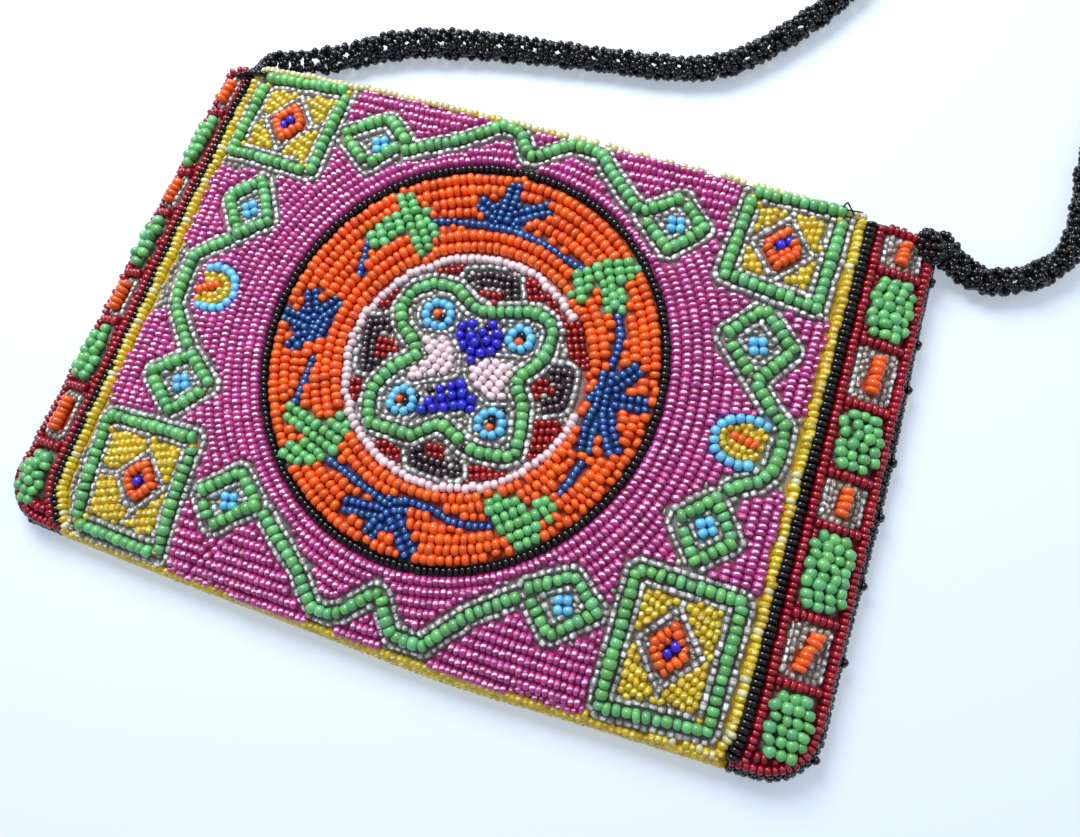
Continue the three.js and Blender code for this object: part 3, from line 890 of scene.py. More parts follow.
def laySprig(sprig, area):
    shape = strokeMask(sprig["strokes"], medallion["sprigHalf"]) & area
    middle = np.mean([np.mean(stroke, axis=0) for stroke in sprig["strokes"]], axis=0)
    rows = straightLines(sprig["rowAngle"], spacing=2.35, reach=14.0, middle=middle)
    fillRows("green", rows, shape, overlap=0.15, wide=2.5, lift=0.2, turn=16.0)
    fillGaps("green", shape, sprig["rowAngle"], overlap=0.3, long=1.9, wide=2.2, lift=0.15)


def layMedallion():
    dark, pale = medallion["blackRing"], medallion["paleRing"]
    layRow("black", ellipseLine(dark["centre"], dark["radii"]), wide=2.1)
    layRow("palePink", ellipseLine(pale["centre"], pale["radii"], *pale["turns"]), turn=12.0, wander=0.25)
    area = ellipseMask(dark["centre"], dark["radii"], grow=-0.9)
    area &= ~ellipseMask(pale["centre"], pale["radii"], grow=0.8)
    for flower in blueFlowers:
        layFlower(flower, area)
    for sprig in greenSprigs:
        laySprig(sprig, area)
    lines = [medallionLine((k + 1) / (medallion["rows"] + 1)) for k in range(medallion["rows"])]
    fillRows("orange", lines, area, overlap=0.15, turn=9.0)
    fillGaps("orange", area, ringAngle, overlap=0.25, long=1.6, wide=2.2)


# The disc inside the pale ring
disc = {
    "quatrefoil": [(-14.4, 14.2), (-10.6, 17), (-4.9, 17.4), (0, 14.3), (4.1, 13.3), (9.3, 15.1),
                   (13.8, 16.3), (18.1, 15.4), (19.9, 13), (20, 7.3), (18.6, 4.4), (15.7, 1),
                   (16, -1.2), (18.7, -4.5), (20.2, -11.2), (20.5, -15.5), (18.6, -16.9), (12.4, -17.5),
                   (8.9, -16.8), (4, -14.4), (2.1, -13.7), (-0.4, -15.7), (-3.6, -18.3), (-8.7, -18.1),
                   (-13.6, -17.9), (-15.4, -12.7), (-15.4, -9.4), (-13.4, -5.5), (-10.4, -2.1),
                   (-8.3, 0.1), (-10.1, 2.6), (-14.2, 5.7), (-15.8, 9.5)],
    "blueRings": [{"at": (-6.7, 10.3), "radius": 3.0, "orange": (-0.4, 0.1), "black": (1.3, -0.5)},
                  {"at": (13.2, 9.6), "radius": 2.5, "orange": (0.0, -0.8), "black": (0.3, 0.9)},
                  {"at": (-8.1, -11.0), "radius": 2.65, "orange": (-0.7, 0.1), "black": (1.1, -0.1)},
                  {"at": (13.0, -10.6), "radius": 2.7, "orange": (0.1, -0.9), "black": (0.1, 0.7)}],
    "royalSpots": [(-0.5, 9.2), (1.6, 10.2), (6.3, 11.1), (-0.3, 7.0), (2.3, 7.5), (4.7, 8.9),
                   (7.9, 9.4), (1.2, 5.0), (3.9, 6.0), (6.1, 7.0), (8.4, 7.2), (3.2, 3.9), (5.6, 4.4),
                   (7.8, 5.1), (4.0, 2.0), (-2.8, -12.0), (-2.0, -9.7), (-0.4, -6.3), (1.6, -5.0),
                   (3.8, -4.0), (0.3, -8.4), (2.6, -7.1), (4.9, -6.0), (7.0, -6.6), (-0.5, -10.9),
                   (1.8, -10.0), (3.8, -9.0), (5.7, -8.2), (7.6, -8.8)],
    "pinkPatches": [[(-7.9, 4.4), (-3.8, 5.1), (-0.5, 2.3), (0.5, -1.4), (-3.4, -3.3), (-8.4, -5.6),
                     (-8, -3.5), (-5.5, 1)],
                    [(4.4, 0), (7.8, 2.8), (13.4, 3.9), (14.2, 1.1), (12.4, -0.7), (13.9, -4.1), (11.1, -4.8),
                     (7.3, -3.1)]],
    "purpleArches": [[(-1.5, 17.3), (-3, 20.9), (1.6, 22.6), (7.5, 22.9), (9.4, 18.2)],
                     [(-17.3, 6), (-21.9, 4.4), (-21.1, -0.9), (-19.8, -6.2), (-16, -5.7)],
                     [(21.8, 4.6), (26.2, 5.5), (27, 2), (27, -2.5), (22.8, -4.6)],
                     [(-2.2, -20.6), (-0.7, -23.7), (5.1, -24), (9.8, -23.3), (8.2, -19.8)]],
    "redHearts": [(3.2, 18), (-16.2, -0.6), (21.9, 0), (3.3, -20.8)],
    "redPatches": [[(-11.6, 20.2), (-8.4, 23.2), (-4.4, 23.4), (-4.4, 20), (-9.7, 19)],
                   [(10.3, 24), (14.7, 24), (19.4, 22.6), (23.6, 18.8), (27.6, 13.4), (30, 7.5), (26.5, 7),
                    (22.7, 13.8), (20, 17.2), (16.6, 17.8), (11.8, 17.8)],
                   [(-21.8, 8.2), (-18.6, 13.6), (-16, 13), (-15.6, 8.5), (-19.8, 7)],
                   [(-21.4, -9.5), (-17.4, -8.6), (-16.6, -13.5), (-19.6, -13.5)],
                   [(-10.6, -21.2), (-5.4, -20.8), (-3.8, -24.2), (-7.2, -24.8)],
                   [(11.1, -20), (19.5, -18.7), (20, -21.3), (14.9, -25), (12.4, -25)],
                   [(21.8, -7.4), (28.4, -6.1), (29, -8.1), (26.8, -13.2), (23.4, -17), (22.2, -12.3)]],
    "blackSpots": [(9.2, -17.5), (14.6, -7.2), (5.2, 10.3), (-4.9, -9.4), (-2.6, -7.3)],
    "heartRadii": (2.6, 2.4), "archRow": 1.8, "silverOut": 1.85, "redEdge": 1.0, "pinkEdge": 1.7,
    "clearTurn": 0.3, "spotScatter": 0.1,
}


def layDisc():
    pale = medallion["paleRing"]
    inside = ellipseMask(pale["centre"], pale["radii"], grow=-0.9)
    for x, y in disc["blackSpots"]:
        lay("black", x, y, angle=0.6, long=1.3, wide=1.7, lift=0.2, turn=40.0)
    loop = greenLine(disc["quatrefoil"], closed=True)
    for ring in disc["blueRings"]:
        line = ellipseLine(ring["at"], (ring["radius"],) * 2)
        layRow("lightBlue", line, overlap=0.35, long=1.85, wide=2.1, lift=0.1, turn=14.0, wander=0.15)
        for kind, long, wide, lift in (("orange", 1.7, 2.0, 0.1), ("black", 1.5, 1.8, 0.35)):
            x, y = np.add(ring["at"], ring[kind])
            lay(kind, x, y, angle=0.3, long=long, wide=wide, lift=lift, turn=30.0)
    for x, y in disc["royalSpots"]:
        x, y = x + dice.normal(0, disc["spotScatter"]), y + dice.normal(0, disc["spotScatter"])
        lay("royalBlue", x, y, angle=0.4, long=2.0, wide=2.3, lift=0.2, turn=45.0)
    for patch in disc["pinkPatches"]:
        shape = polygonMask(patch)
        rows = straightLines(1.2, spacing=2.0, reach=12.0, middle=np.mean(patch, axis=0))
        fillRows("palePink", rows, shape, overlap=0.2, wide=2.1, lift=0.1, turn=18.0)
        fillGaps("palePink", shape, angle=1.2, overlap=0.35, long=1.5, wide=1.9)
    silverBeside(loop, closed=True)
    for arch in disc["purpleArches"]:
        line = lineThrough(arch)
        layRow("purple", line, turn=8.0)
        for part in bothSides(line, disc["archRow"]):
            inner = np.hypot(*np.mean(part, axis=0)) < np.hypot(*np.mean(line, axis=0))
            layRow("purple" if inner else "silver", part, overlap=0.28, turn=8.0)
    for heart in disc["redHearts"]:
        rows = straightLines(0.1, spacing=1.75, reach=4.0, middle=heart)
        fillRows("wineRed", rows, ellipseMask(heart, disc["heartRadii"]), overlap=0.25, turn=14.0)
    for patch in disc["redPatches"]:
        shape = polygonMask(patch)
        rows = straightLines(0.35, spacing=1.75, reach=14.0, middle=np.mean(patch, axis=0))
        fillRows("wineRed", rows, shape, overlap=0.3, turn=12.0)
        fillGaps("wineRed", shape, angle=0.35, overlap=0.4, long=1.2, wide=1.5)
        for part in bothSides(lineThrough(patch, closed=True), disc["redEdge"]):
            layRow("silver", part, overlap=0.2, wide=1.35, turn=9.0)
    for patch in disc["pinkPatches"]:
        for part in bothSides(lineThrough(patch, closed=True), disc["pinkEdge"]):
            layRow("silver", part, wide=1.4)
    for ring in disc["blueRings"]:
        layRow("silver", ellipseLine(ring["at"], (ring["radius"] + disc["silverOut"],) * 2), wide=1.4)
    rows = straightLines(0.5, spacing=1.6, reach=32.0, middle=pale["centre"])
    fillRows("clear", rows, inside, overlap=0.2, turn=22.0)
    fillGaps("clear", inside, lambda x, y: x * disc["clearTurn"], overlap=0.3, long=1.3, wide=1.3)


# Borders of the panel: a yellow row inside each crease, and rows under the corner squares
borders = {"fromCrease": 2.2, "wide": 2.5, "paleShare": 0.12, "lean": {-1: 1.5, 1: 0.0}, "ends": 0.985,
           "bottomRows": (1.25, 3.2), "bottomWide": 1.95, "bottomPale": 0.2, "squareFrom": 50.0, "inset": 2.5}


# A line down the crease between the panel and a band, moved outward
def creaseLine(side, outward):
    v = np.linspace(borders["ends"], -borders["ends"], num=70)
    x = panelEdge(side, v) + side * outward + borders["lean"][side] * np.clip(v, 0, 1) ** 2
    return evenly(np.stack([x, yAt(x, v)], axis=1))


def layBorders():
    for side in (-1, 1):
        line = creaseLine(side, -borders["fromCrease"])
        layRow("yellow", line, overlap=0.45, wide=borders["wide"], lift=0.1, turn=6.0, wander=0.15,
               other=("paleYellow", borders["paleShare"]))
    left, right = panelEdge(-1, -1) + borders["inset"], panelEdge(1, -1) - borders["inset"]
    x = np.linspace(left, right, num=160)
    for fromEdge in borders["bottomRows"]:
        for side in (-1, 1):
            part = x[side * x > borders["squareFrom"]]
            line = evenly(np.stack([part, bottomEdge(part) + fromEdge], axis=1))
            layRow("yellow", line, overlap=0.35, wide=borders["bottomWide"], turn=12.0, wander=0.2,
                   other=("paleYellow", borders["bottomPale"]))


# Magenta field: rings round the medallion as far as the first green line, straight rows beyond
field = {
    "spacing": 2.26, "ringsOut": 28, "ringTurns": (0.13, 1.13), "reach": 84.0, "rowsUp": 0.6,
    "sideways": 0.72, "edgeRoom": 0.8, "creaseRoom": 1.2, "clearOfGreen": 3.55, "greenFrom": 49.0,
    "sectors": 720, "squareFrom": 66.0, "squareRoom": (2, 3), "turn": 4.0,
    "beyondZigzags": [[(-82, 14), (-73, 12), (-72, 0), (-70, -5), (-82, -8)],
                      [(73, 10), (84, 13), (84, -9), (72, -6)]],
}


def panelArea():
    v = heightShare(gridX, gridY)
    room = field["creaseRoom"]
    inside = (gridX > panelEdge(-1, v) + room) & (gridX < panelEdge(1, v) - room)
    inside &= gridY > bottomEdge(gridX) + field["edgeRoom"]
    return inside & (gridY < topEdge(gridX) - field["edgeRoom"])


# The cells that no green line hides from the middle of the medallion
def seenFromMiddle():
    cx, cy = medallion["blackRing"]["centre"]
    radius = np.hypot(gridX - cx, gridY - cy)
    turns = (np.arctan2(gridY - cy, gridX - cx) + math.pi) / (2 * math.pi)
    sector = (turns * (field["sectors"] - 1)).astype(int)
    nearest = np.full(field["sectors"], np.inf)
    green = (covered == kindNumber["green"]) & (radius > field["greenFrom"])
    np.minimum.at(nearest, sector[green], radius[green])
    return radius < nearest[sector]


def fieldArea(around):
    free = around.copy()
    framed = cornerSquares + smallDiamonds
    green = [shape["line"] for shape in framed] + zigzagLines
    free &= ~strokeMask([line[::4] for line in green], field["clearOfGreen"])
    shapes = [shape["corners"] for shape in framed] + [eye["arch"] for eye in eyes] + field["beyondZigzags"]
    for shape in shapes:
        free &= ~polygonMask(shape)
    roomX, roomY = field["squareRoom"]
    for square in cornerSquares:
        heartX, heartY = square["heart"]
        near, low = np.min(square["corners"], axis=0)
        far, high = np.max(square["corners"], axis=0)
        outward = gridX * np.sign(heartX) > field["squareFrom"]
        free &= ~(outward & (gridY > low - roomY) & (gridY < high + roomY))
        beyond = gridY * np.sign(heartY) > abs(heartY)
        free &= ~(beyond & (gridX > near - roomX) & (gridX < far + roomX))
    return free


def layField():
    dark = medallion["blackRing"]
    around = panelArea() & ~ellipseMask(dark["centre"], dark["radii"])
    free = fieldArea(around)
    ringed = free & seenFromMiddle()
    sideways = np.abs(gridX) * field["sideways"] > np.abs(gridY)
    rings = []
    for k in range(1, field["ringsOut"]):
        grown = [r + field["spacing"] * k for r in dark["radii"]]
        rings.append(ellipseLine(dark["centre"], grown, *field["ringTurns"]))
    upright = straightLines(quarter, field["spacing"], field["reach"])
    level = straightLines(0.0, field["spacing"], field["reach"], (0, field["rowsUp"]))
    parts = [(rings, ringed), (upright, free & sideways & ~ringed), (level, free & ~sideways & ~ringed)]
    for lines, part in parts:
        fillRows("magenta", lines, part, overlap=0.1, turn=field["turn"])

    def rowAngle(x, y):
        cell = cellAt(x, y)
        if ringed[cell]:
            return ringAngle(x, y)
        return quarter if sideways[cell] else 0.0
    fillGaps("magenta", free, rowAngle, overlap=0.25, long=1.1, wide=1.8)
    fillGaps("clear", around, rowAngle, overlap=0.15, long=1.5, wide=1.4)


laySquares()
layDiamonds()
zigzagLines = [greenLine(points) for points in zigzags]
fillDiamonds()
layEyes()
for zigzagLine in zigzagLines:
    silverBeside(zigzagLine)
layBorders()
layMedallion()
layDisc()
layField()
print("panel beads planned:", sum(len(rows) for rows in laid.values()))


# The sewn edge down a side, round the bottom corner and along to the crease
def sideSeam(side):
    v = np.linspace(borders["ends"], -1, num=60)
    x = sewnEdge(side, v)
    turn = np.linspace(0.05, 1, num=20) * quarter
    cornerX = sewnEdge(side, -1) - side * pouch["bottomCorner"] * (1 - np.cos(turn))
    lastX = np.linspace(cornerX[-1], panelEdge(side, -1), num=12)[1:]
    lowX = np.concatenate([cornerX, lastX])
    x, y = np.concatenate([x, lowX]), np.concatenate([yAt(x, v), bottomEdge(lowX)])
    return evenly(np.stack([x, y], axis=1))


# Places across a band are measured along its curved face, from the crease outward
bandGrid = {"low": -64.0, "high": 62.0, "rows": 85, "columns": 48, "creaseX": 84.0}


def bandFace(side):
    heights = np.linspace(bandGrid["low"], bandGrid["high"], bandGrid["rows"])
    face = {"side": side, "heights": heights, "xs": [], "reach": []}
    for y in heights:
        v = float(heightShare(np.array(side * bandGrid["creaseX"]), np.array(y)))
        crease = between(pouch["panelLeft" if side < 0 else "panelRight"], v)
        inner = crease + borders["lean"][side] * max(v, 0.0) ** 2
        x = np.linspace(inner, sewnEdge(side, v), bandGrid["columns"])
        z = frontHeight(x, np.full_like(x, y))
        face["xs"].append(x)
        face["reach"].append(np.concatenate([[0], np.cumsum(np.hypot(np.diff(x), np.diff(z)))]))
    return face


def bandWidth(face, y):
    return np.interp(y, face["heights"], [reach[-1] for reach in face["reach"]])


def bandPlace(face, out, y):
    row = int(np.argmin(np.abs(face["heights"] - y)))
    return float(np.interp(out, face["reach"][row], face["xs"][row]))


# Rows and blocks of each band: rows by their distance from the crease or the seam, blocks by their heights
bandLooks = {
    -1: {"creaseRow": 0.15, "creaseWide": 2.35, "innerRow": 1.9, "innerLift": 0.35,
         "outerRow": 0.55, "outerLift": -0.15, "blockFrom": 2.7, "blockTo": 1.5,
         "blocks": [("slot", 50, 58.5), ("green", 32, 46.5), ("slot", 20.5, 29), ("green", 3.5, 17),
                    ("slot", -9.8, 0), ("green", -27.5, -13), ("slot", -42.3, -31), ("green", -59.0, -46.5)]},
    1: {"creaseRow": 0.4, "creaseWide": 2.9, "innerRow": 2.75, "innerLift": 0.0,
        "outerRow": 0.75, "outerLift": 0.1, "blockFrom": 3.9, "blockTo": 2.2,
        "blocks": [("slot", 49, 56), ("green", 32, 46), ("slot", 18, 29.5), ("green", 2, 15),
                   ("slot", -9, -0.5), ("green", -28, -12), ("slot", -42, -31, 2.6), ("green", -58, -45)]},
}
cushion = {"long": 2.1, "wide": 2.7, "pitch": (2.3, 2.1), "lift": 0.2, "crown": 0.8, "scatter": (0.12, 0.15),
           "edge": 0.35, "endInset": 0.5, "rowInset": 0.25, "angles": (0.0, 1.5), "angleScatter": 0.4}
slotLook = {"lean": 0.35, "tall": 0.76, "pitch": 1.45, "long": 1.6, "wide": 3.2, "lift": 0.3, "inset": 0.5,
            "frameShort": 0.2}
foot = {"rows": 7, "first": 0.8, "pitch": 2.1, "highest": -40.0, "edgeRoom": 1.2, "fromRow": 0.8, "over": 1.0}
bandTrim = {"mouthFrom": 1.2, "mouthUnder": 1.0, "barOver": 0.2, "lowest": -45, "mouthRoom": 0.8,
            "around": 1.0}


def layAt(kind, face, out, y, angle, **sizes):
    lay(kind, bandPlace(face, out, y), y, angle, **sizes)


def bandRow(kind, face, out, low, high, long, wide, turn):
    count = max(1, int(round((high - low) / (long * bandPitch))))
    for k in range(count):
        y = low + (k + 0.5) * (high - low) / count
        layAt(kind, face, out, y, quarter, long=long, wide=wide, turn=turn)


def bandBar(kind, face, fromOut, toSeam, y, lift):
    until = bandWidth(face, y) - toSeam
    count = max(1, int(round((until - fromOut) / (beadKinds[kind]["long"] * bandPitch))))
    for k in range(count):
        layAt(kind, face, fromOut + (k + 0.5) * (until - fromOut) / count, y, 0.0, lift=lift, turn=7.0)


# A packed cushion of green beads, every other row set half a bead over
def greenBlock(face, low, high):
    look = bandLooks[face["side"]]
    pitchOut, pitchUp = cushion["pitch"]
    scatterOut, scatterUp = cushion["scatter"]
    rows = max(3, int(round((high - low) / pitchUp)))
    for row in range(rows):
        y = low + (row + 0.5) * (high - low) / rows
        start, stop = look["blockFrom"], bandWidth(face, y) - look["blockTo"]
        columns = max(2, int(round((stop - start) / pitchOut)))
        pitch = (stop - start) / columns
        atEnd = row in (0, rows - 1)
        inset = cushion["endInset"] if atEnd else cushion["rowInset"] * (row % 2)
        for column in range(columns - 1 if atEnd else columns):
            out = start + (column + cushion["edge"] + inset) * pitch + dice.normal(0, scatterOut)
            middle = math.sin(math.pi * (column + 0.5) / columns) * math.sin(math.pi * (row + 0.5) / rows)
            lift = cushion["lift"] + cushion["crown"] * middle ** 0.5
            up = y + dice.normal(0, scatterUp)
            angle = dice.choice(cushion["angles"]) + dice.normal(0, cushion["angleScatter"])
            layAt("green", face, out, up, angle, long=cushion["long"], wide=cushion["wide"], lift=lift,
                  turn=8.0)


# An orange bar in clear beads
def slotBlock(face, low, high, lean=slotLook["lean"]):
    look = bandLooks[face["side"]]
    middle = (low + high) / 2
    start, stop = look["blockFrom"], bandWidth(face, middle) - look["blockTo"]
    centre = (start + stop) / 2
    tall = slotLook["tall"] * (high - low)
    beads = max(3, int(round(tall / slotLook["pitch"])))
    for k in range(beads):
        share = (k + 0.5) / beads - 0.5
        layAt("orange", face, centre + face["side"] * lean * share, middle + share * tall, quarter,
              long=slotLook["long"], wide=slotLook["wide"], lift=slotLook["lift"], turn=11.0)
    short = slotLook["frameShort"]
    for out in (start + slotLook["inset"], stop - slotLook["inset"]):
        bandRow("silver", face, out, low + short, high - short, long=1.6, wide=1.4, turn=12.0)
    left, right = sorted((bandPlace(face, start, middle), bandPlace(face, stop, middle)))
    area = (gridX > left) & (gridX < right) & (gridY > low) & (gridY < high)
    rows = straightLines(quarter, spacing=1.45, reach=20.0, middle=(left, middle))
    fillRows("clear", rows, area, overlap=0.3, long=1.6, wide=1.4, turn=22.0)
    fillGaps("clear", area, angle=1.3, overlap=0.35, long=1.3, wide=1.2)


# Red rows fill what the blocks leave at the foot of a band
def bandFoot(side, seam, low):
    v = heightShare(gridX, gridY)
    area = side * (gridX - panelEdge(side, v)) > bandLooks[side]["innerRow"] + foot["fromRow"]
    area &= gridY < low + foot["over"]
    area &= (gridY > bottomEdge(gridX) + foot["edgeRoom"]) & (gridY < foot["highest"])
    lines = []
    for k in range(1, foot["rows"]):
        lines += besideLine(seam, -side * (foot["first"] + foot["pitch"] * k))
    fillRows("bandRed", lines, area, overlap=0.25, turn=6.0)
    fillGaps("bandRed", area, angle=0.3, overlap=0.3, long=1.25, wide=1.9)


def layBand(side):
    look = bandLooks[side]
    face = bandFace(side)
    layRow("black", creaseLine(side, look["creaseRow"]), overlap=0.7, wide=look["creaseWide"], lift=0.5)
    layRow("bandRed", creaseLine(side, look["innerRow"]), overlap=0.5, lift=look["innerLift"], turn=5.0)
    seam = sideSeam(side)
    for part in besideLine(seam, -side * look["outerRow"]):
        layRow("bandRed", part, overlap=0.6, wide=2.4, lift=look["outerLift"], turn=5.0)
    x = np.linspace(panelEdge(side, 1) + side * bandTrim["mouthFrom"], sewnEdge(side, 1), num=20)
    mouth = evenly(np.stack([x, topEdge(x) - bandTrim["mouthUnder"]], axis=1))
    layRow("bandRed", mouth, overlap=0.45, turn=5.0)
    upward = sorted(look["blocks"], key=lambda block: block[1])
    for lower, upper in zip(upward[:-1], upward[1:]):
        y = (lower[2] + upper[1]) / 2
        start, toSeam = look["blockFrom"] - bandTrim["barOver"], look["blockTo"] - bandTrim["barOver"]
        bandBar("bandRed", face, start, toSeam, y, lift=0.15)
    for kind, *heights in look["blocks"]:
        (greenBlock if kind == "green" else slotBlock)(face, *heights)
    beyond = side * (gridX - panelEdge(side, heightShare(gridX, gridY)))
    inner = (beyond > -bandTrim["around"]) & (beyond < look["blockFrom"] + bandTrim["around"])
    inner &= (gridY > bandTrim["lowest"]) & (gridY < topEdge(gridX) - bandTrim["mouthRoom"])
    fillGaps("bandRed", inner, quarter, overlap=0.4, long=1.25, wide=1.4)
    bandFoot(side, seam, upward[0][1])


laidPanel = {name: len(rows) for name, rows in laid.items()}
layBand(1)
laidRight = {name: len(rows) for name, rows in laid.items()}
layBand(-1)
print("band beads planned:", sum(len(rows) for rows in laid.values()) - sum(laidPanel.values()))


# A bead is a short barrel on its thread: rings of corners along it, with round ends
def barrel(sides, stations):
    corners, faces = [], []
    for alongPart, radius in stations:
        for k in range(sides):
            turn = 2 * math.pi * (k + 0.5) / sides
            corners.append((alongPart, radius * math.cos(turn), radius * math.sin(turn)))
    for ring in range(len(stations) - 1):
        for k in range(sides):
            here, beside = ring * sides + k, ring * sides + (k + 1) % sides
            faces.append((here, here + sides, beside + sides, beside))
    caps = [tuple(range(sides)), tuple(reversed(range((len(stations) - 1) * sides, len(stations) * sides)))]
    return np.array(corners), faces, caps


beadForms = {
    "fine": barrel(8, [(-1.0, 0.62), (-0.52, 0.97), (0.52, 0.97), (1.0, 0.62)]),
    "large": barrel(10, [(-1.0, 0.5), (-0.72, 0.88), (0.0, 1.0), (0.72, 0.88), (1.0, 0.5)]),
    "rope": barrel(6, [(-1.0, 0.52), (-0.5, 0.98), (0.5, 0.98), (1.0, 0.52)]),
}
largeKinds = ("green", "orange", "lightBlue", "royalBlue")

# Painted glints lie level with the window, or along the thread for the kinds marked so
glintWays = {"up": np.array([-0.31, 0.95, 0.0]), "right": np.array([0.95, 0.31, 0.0])}
triangles = {}


def addPiece(name, mesh, material, node):
    mesh.materials.append(material)
    piece = addObject(name, mesh)
    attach(piece, "root")
    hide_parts(node)
    triangles[name] = len(mesh.loops) - 2 * len(mesh.polygons)


def capitalled(name):
    return name[0].upper() + name[1:]


# Beads of one kind as one mesh, from their middles, the ways of their threads and the sides that face out
def joinedBeads(name, form, kind, node, centres, ways, normals, longs, wides, slot=None):
    corners, quads, caps = beadForms[form]
    count, size = len(centres), len(corners)
    ways = ways / np.linalg.norm(ways, axis=1, keepdims=True)
    sides = np.cross(normals, ways)
    sides /= np.linalg.norm(sides, axis=1, keepdims=True)
    tops = np.cross(ways, sides)
    halfLong, halfWide = (longs / 2)[:, None, None], (wides / 2)[:, None, None]
    points = centres[:, None, :] + (
        corners[None, :, 0:1] * halfLong * ways[:, None, :]
        + corners[None, :, 1:2] * halfWide * sides[:, None, :]
        + corners[None, :, 2:3] * halfWide * tops[:, None, :])
    starts = np.arange(count)[:, None, None] * size
    quadCorners = (np.array(quads)[None] + starts).reshape(-1)
    capCorners = (np.array(caps)[None] + starts).reshape(-1)
    loops = np.concatenate([quadCorners, capCorners])
    faceStarts = np.concatenate([np.arange(0, len(quadCorners), 4),
                                 len(quadCorners) + np.arange(0, len(capCorners), len(caps[0]))])
    mesh = bpy.data.meshes.new(name)
    mesh.vertices.add(count * size)
    mesh.vertices.foreach_set("co", (points * mm).astype(np.float32).ravel())
    mesh.loops.add(len(loops))
    mesh.loops.foreach_set("vertex_index", loops.astype(np.int32))
    mesh.polygons.add(len(faceStarts))
    mesh.polygons.foreach_set("loop_start", faceStarts.astype(np.int32))
    mesh.polygons.foreach_set("use_smooth", np.ones(len(mesh.polygons), bool))
    mesh.update(calc_edges=True)
    tone = mesh.attributes.new("tone", "FLOAT", "POINT")
    tone.data.foreach_set("value", np.repeat(dice.random(count), size).astype(np.float32))
    seat = mesh.attributes.new("seat", "FLOAT_VECTOR", "POINT")
    if beadLooks[kind].get("thread"):
        places = np.tile(corners, (count, 1))
    else:
        # The painted glints of the other kinds are turned level with the window, whatever way the thread runs
        offsets = (points - centres[:, None, :]) / halfWide
        lifts = np.sum(offsets * tops[:, None, :], axis=2)
        places = np.stack([offsets @ glintWays["up"], offsets @ glintWays["right"], lifts], axis=2)
    seat.data.foreach_set("vector", places.astype(np.float32).ravel())
    addPiece(name, mesh, beadMaterials[kind], node)
    print(f"  {name}: {count} beads, {triangles[name]} triangles")


# Beads lie on the cloth ground, which comes up a little between them
ground = {"under": 1.9, "depth": 1.35, "inside": 2.4, "seat": 0.46, "skip": 8, "rows": 18, "gap": 0.15}


def onGround(rows):
    x, y, angle, long, wide, lift = np.array(rows, float).T
    normals = frontNormal(x, y)
    surface = np.stack([x, y, frontHeight(x, y) - ground["under"]], axis=1)
    centres = surface + normals * (wide * ground["seat"] + lift)[:, None]
    flat = np.stack([np.cos(angle), np.sin(angle), np.zeros_like(angle)], axis=1)
    ways = flat - normals * np.sum(flat * normals, axis=1, keepdims=True)
    return centres, ways, normals, long, wide


def beadPieces(label, node, rowsByKind):
    for kind, rows in rowsByKind.items():
        if rows:
            form = "large" if kind in largeKinds else "fine"
            joinedBeads(label + capitalled(kind), form, kind, node, *onGround(rows))


onPanel = {kind: rows[:laidPanel[kind]] for kind, rows in laid.items()}
onRight = {kind: rows[laidPanel[kind]:laidRight[kind]] for kind, rows in laid.items()}
onLeft = {kind: rows[laidRight[kind]:] for kind, rows in laid.items()}
beadPieces("panel", "front_panel", onPanel)
beadPieces("rightBand", "right_band", onRight)
beadPieces("leftBand", "left_band", onLeft)
print("triangles in the front's beads:", sum(triangles.values()))


# Woven cloth; the ground takes its thread colour from the mesh, with painted light in it, and the back has
# one colour
groundWeave = {"threads": 7000.0, "contrast": 0.5, "rough": 0.7, "sheen": 0.0, "bump": (0.4, 0.0001)}
backWeave = {"thread": colour(38, 36, 42), "threads": 6000.0, "contrast": 0.6, "rough": 0.85, "sheen": 0.25,
             "bump": (0.5, 0.0002)}


def wovenCloth(name, look):
    material, tree, shader = newMaterial(name)
    if "thread" in look:
        thread = look["thread"]
    else:
        thread = addNode(tree, "ShaderNodeAttribute", (-800, 0), attribute_name="clothGlowTint").outputs["Color"]
    weave = placeGroup(tree, clothWeave, Thread=thread, Threads=look["threads"], Contrast=look["contrast"])
    tree.links.new(weave.outputs["Colour"], shader.inputs["Base Color"])
    shader.inputs["Roughness"].default_value = look["rough"]
    shader.inputs["Sheen Weight"].default_value = look["sheen"]
    addBump(tree, shader, weave.outputs["Height"], *look["bump"])
    return material


# Tints of the cloth under each kind of bead, where nothing lies on it and inside the pouch; under the beads
# the cloth's colour carries painted light: the hue of the glass above, and under magenta lighter than the
# shade between beads would leave it
clothGlowTints = {
    "magenta": (158, 52, 106), "silver": (118, 117, 114), "clear": (132, 129, 122), "green": (120, 124, 108),
    "orange": (168, 48, 14), "yellow": (176, 148, 36), "black": (12, 11, 14), "bandRed": (96, 10, 24),
    "darkBlue": (20, 46, 96), "palePink": (168, 146, 152), "wineRed": (92, 8, 16), "purple": (44, 32, 38),
    "lightBlue": (84, 124, 156), "royalBlue": (34, 28, 130), "paleYellow": (168, 154, 100),
}
bareTint = (0.2, 0.2, 0.2, 1)
insideTint = colour(30, 28, 32)
spreadSteps = 14


# The kinds on the plan, spread into the cells that no bead covers
def tintMap():
    tints = covered.copy()
    for step in range(spreadSteps):
        empty = tints == 0
        for axis, way in ((0, 1), (0, -1), (1, 1), (1, -1)):
            moved = np.roll(tints, way, axis)
            tints = np.where(empty & (tints == 0), moved, tints)
    return tints


def squares(index):
    return np.stack([index[:-1, :-1], index[:-1, 1:], index[1:, 1:], index[1:, :-1]], axis=-1).reshape(-1, 4)


def border(index):
    return np.concatenate([index[0, :-1], index[:-1, -1], index[-1, :0:-1], index[:0:-1, 0]])


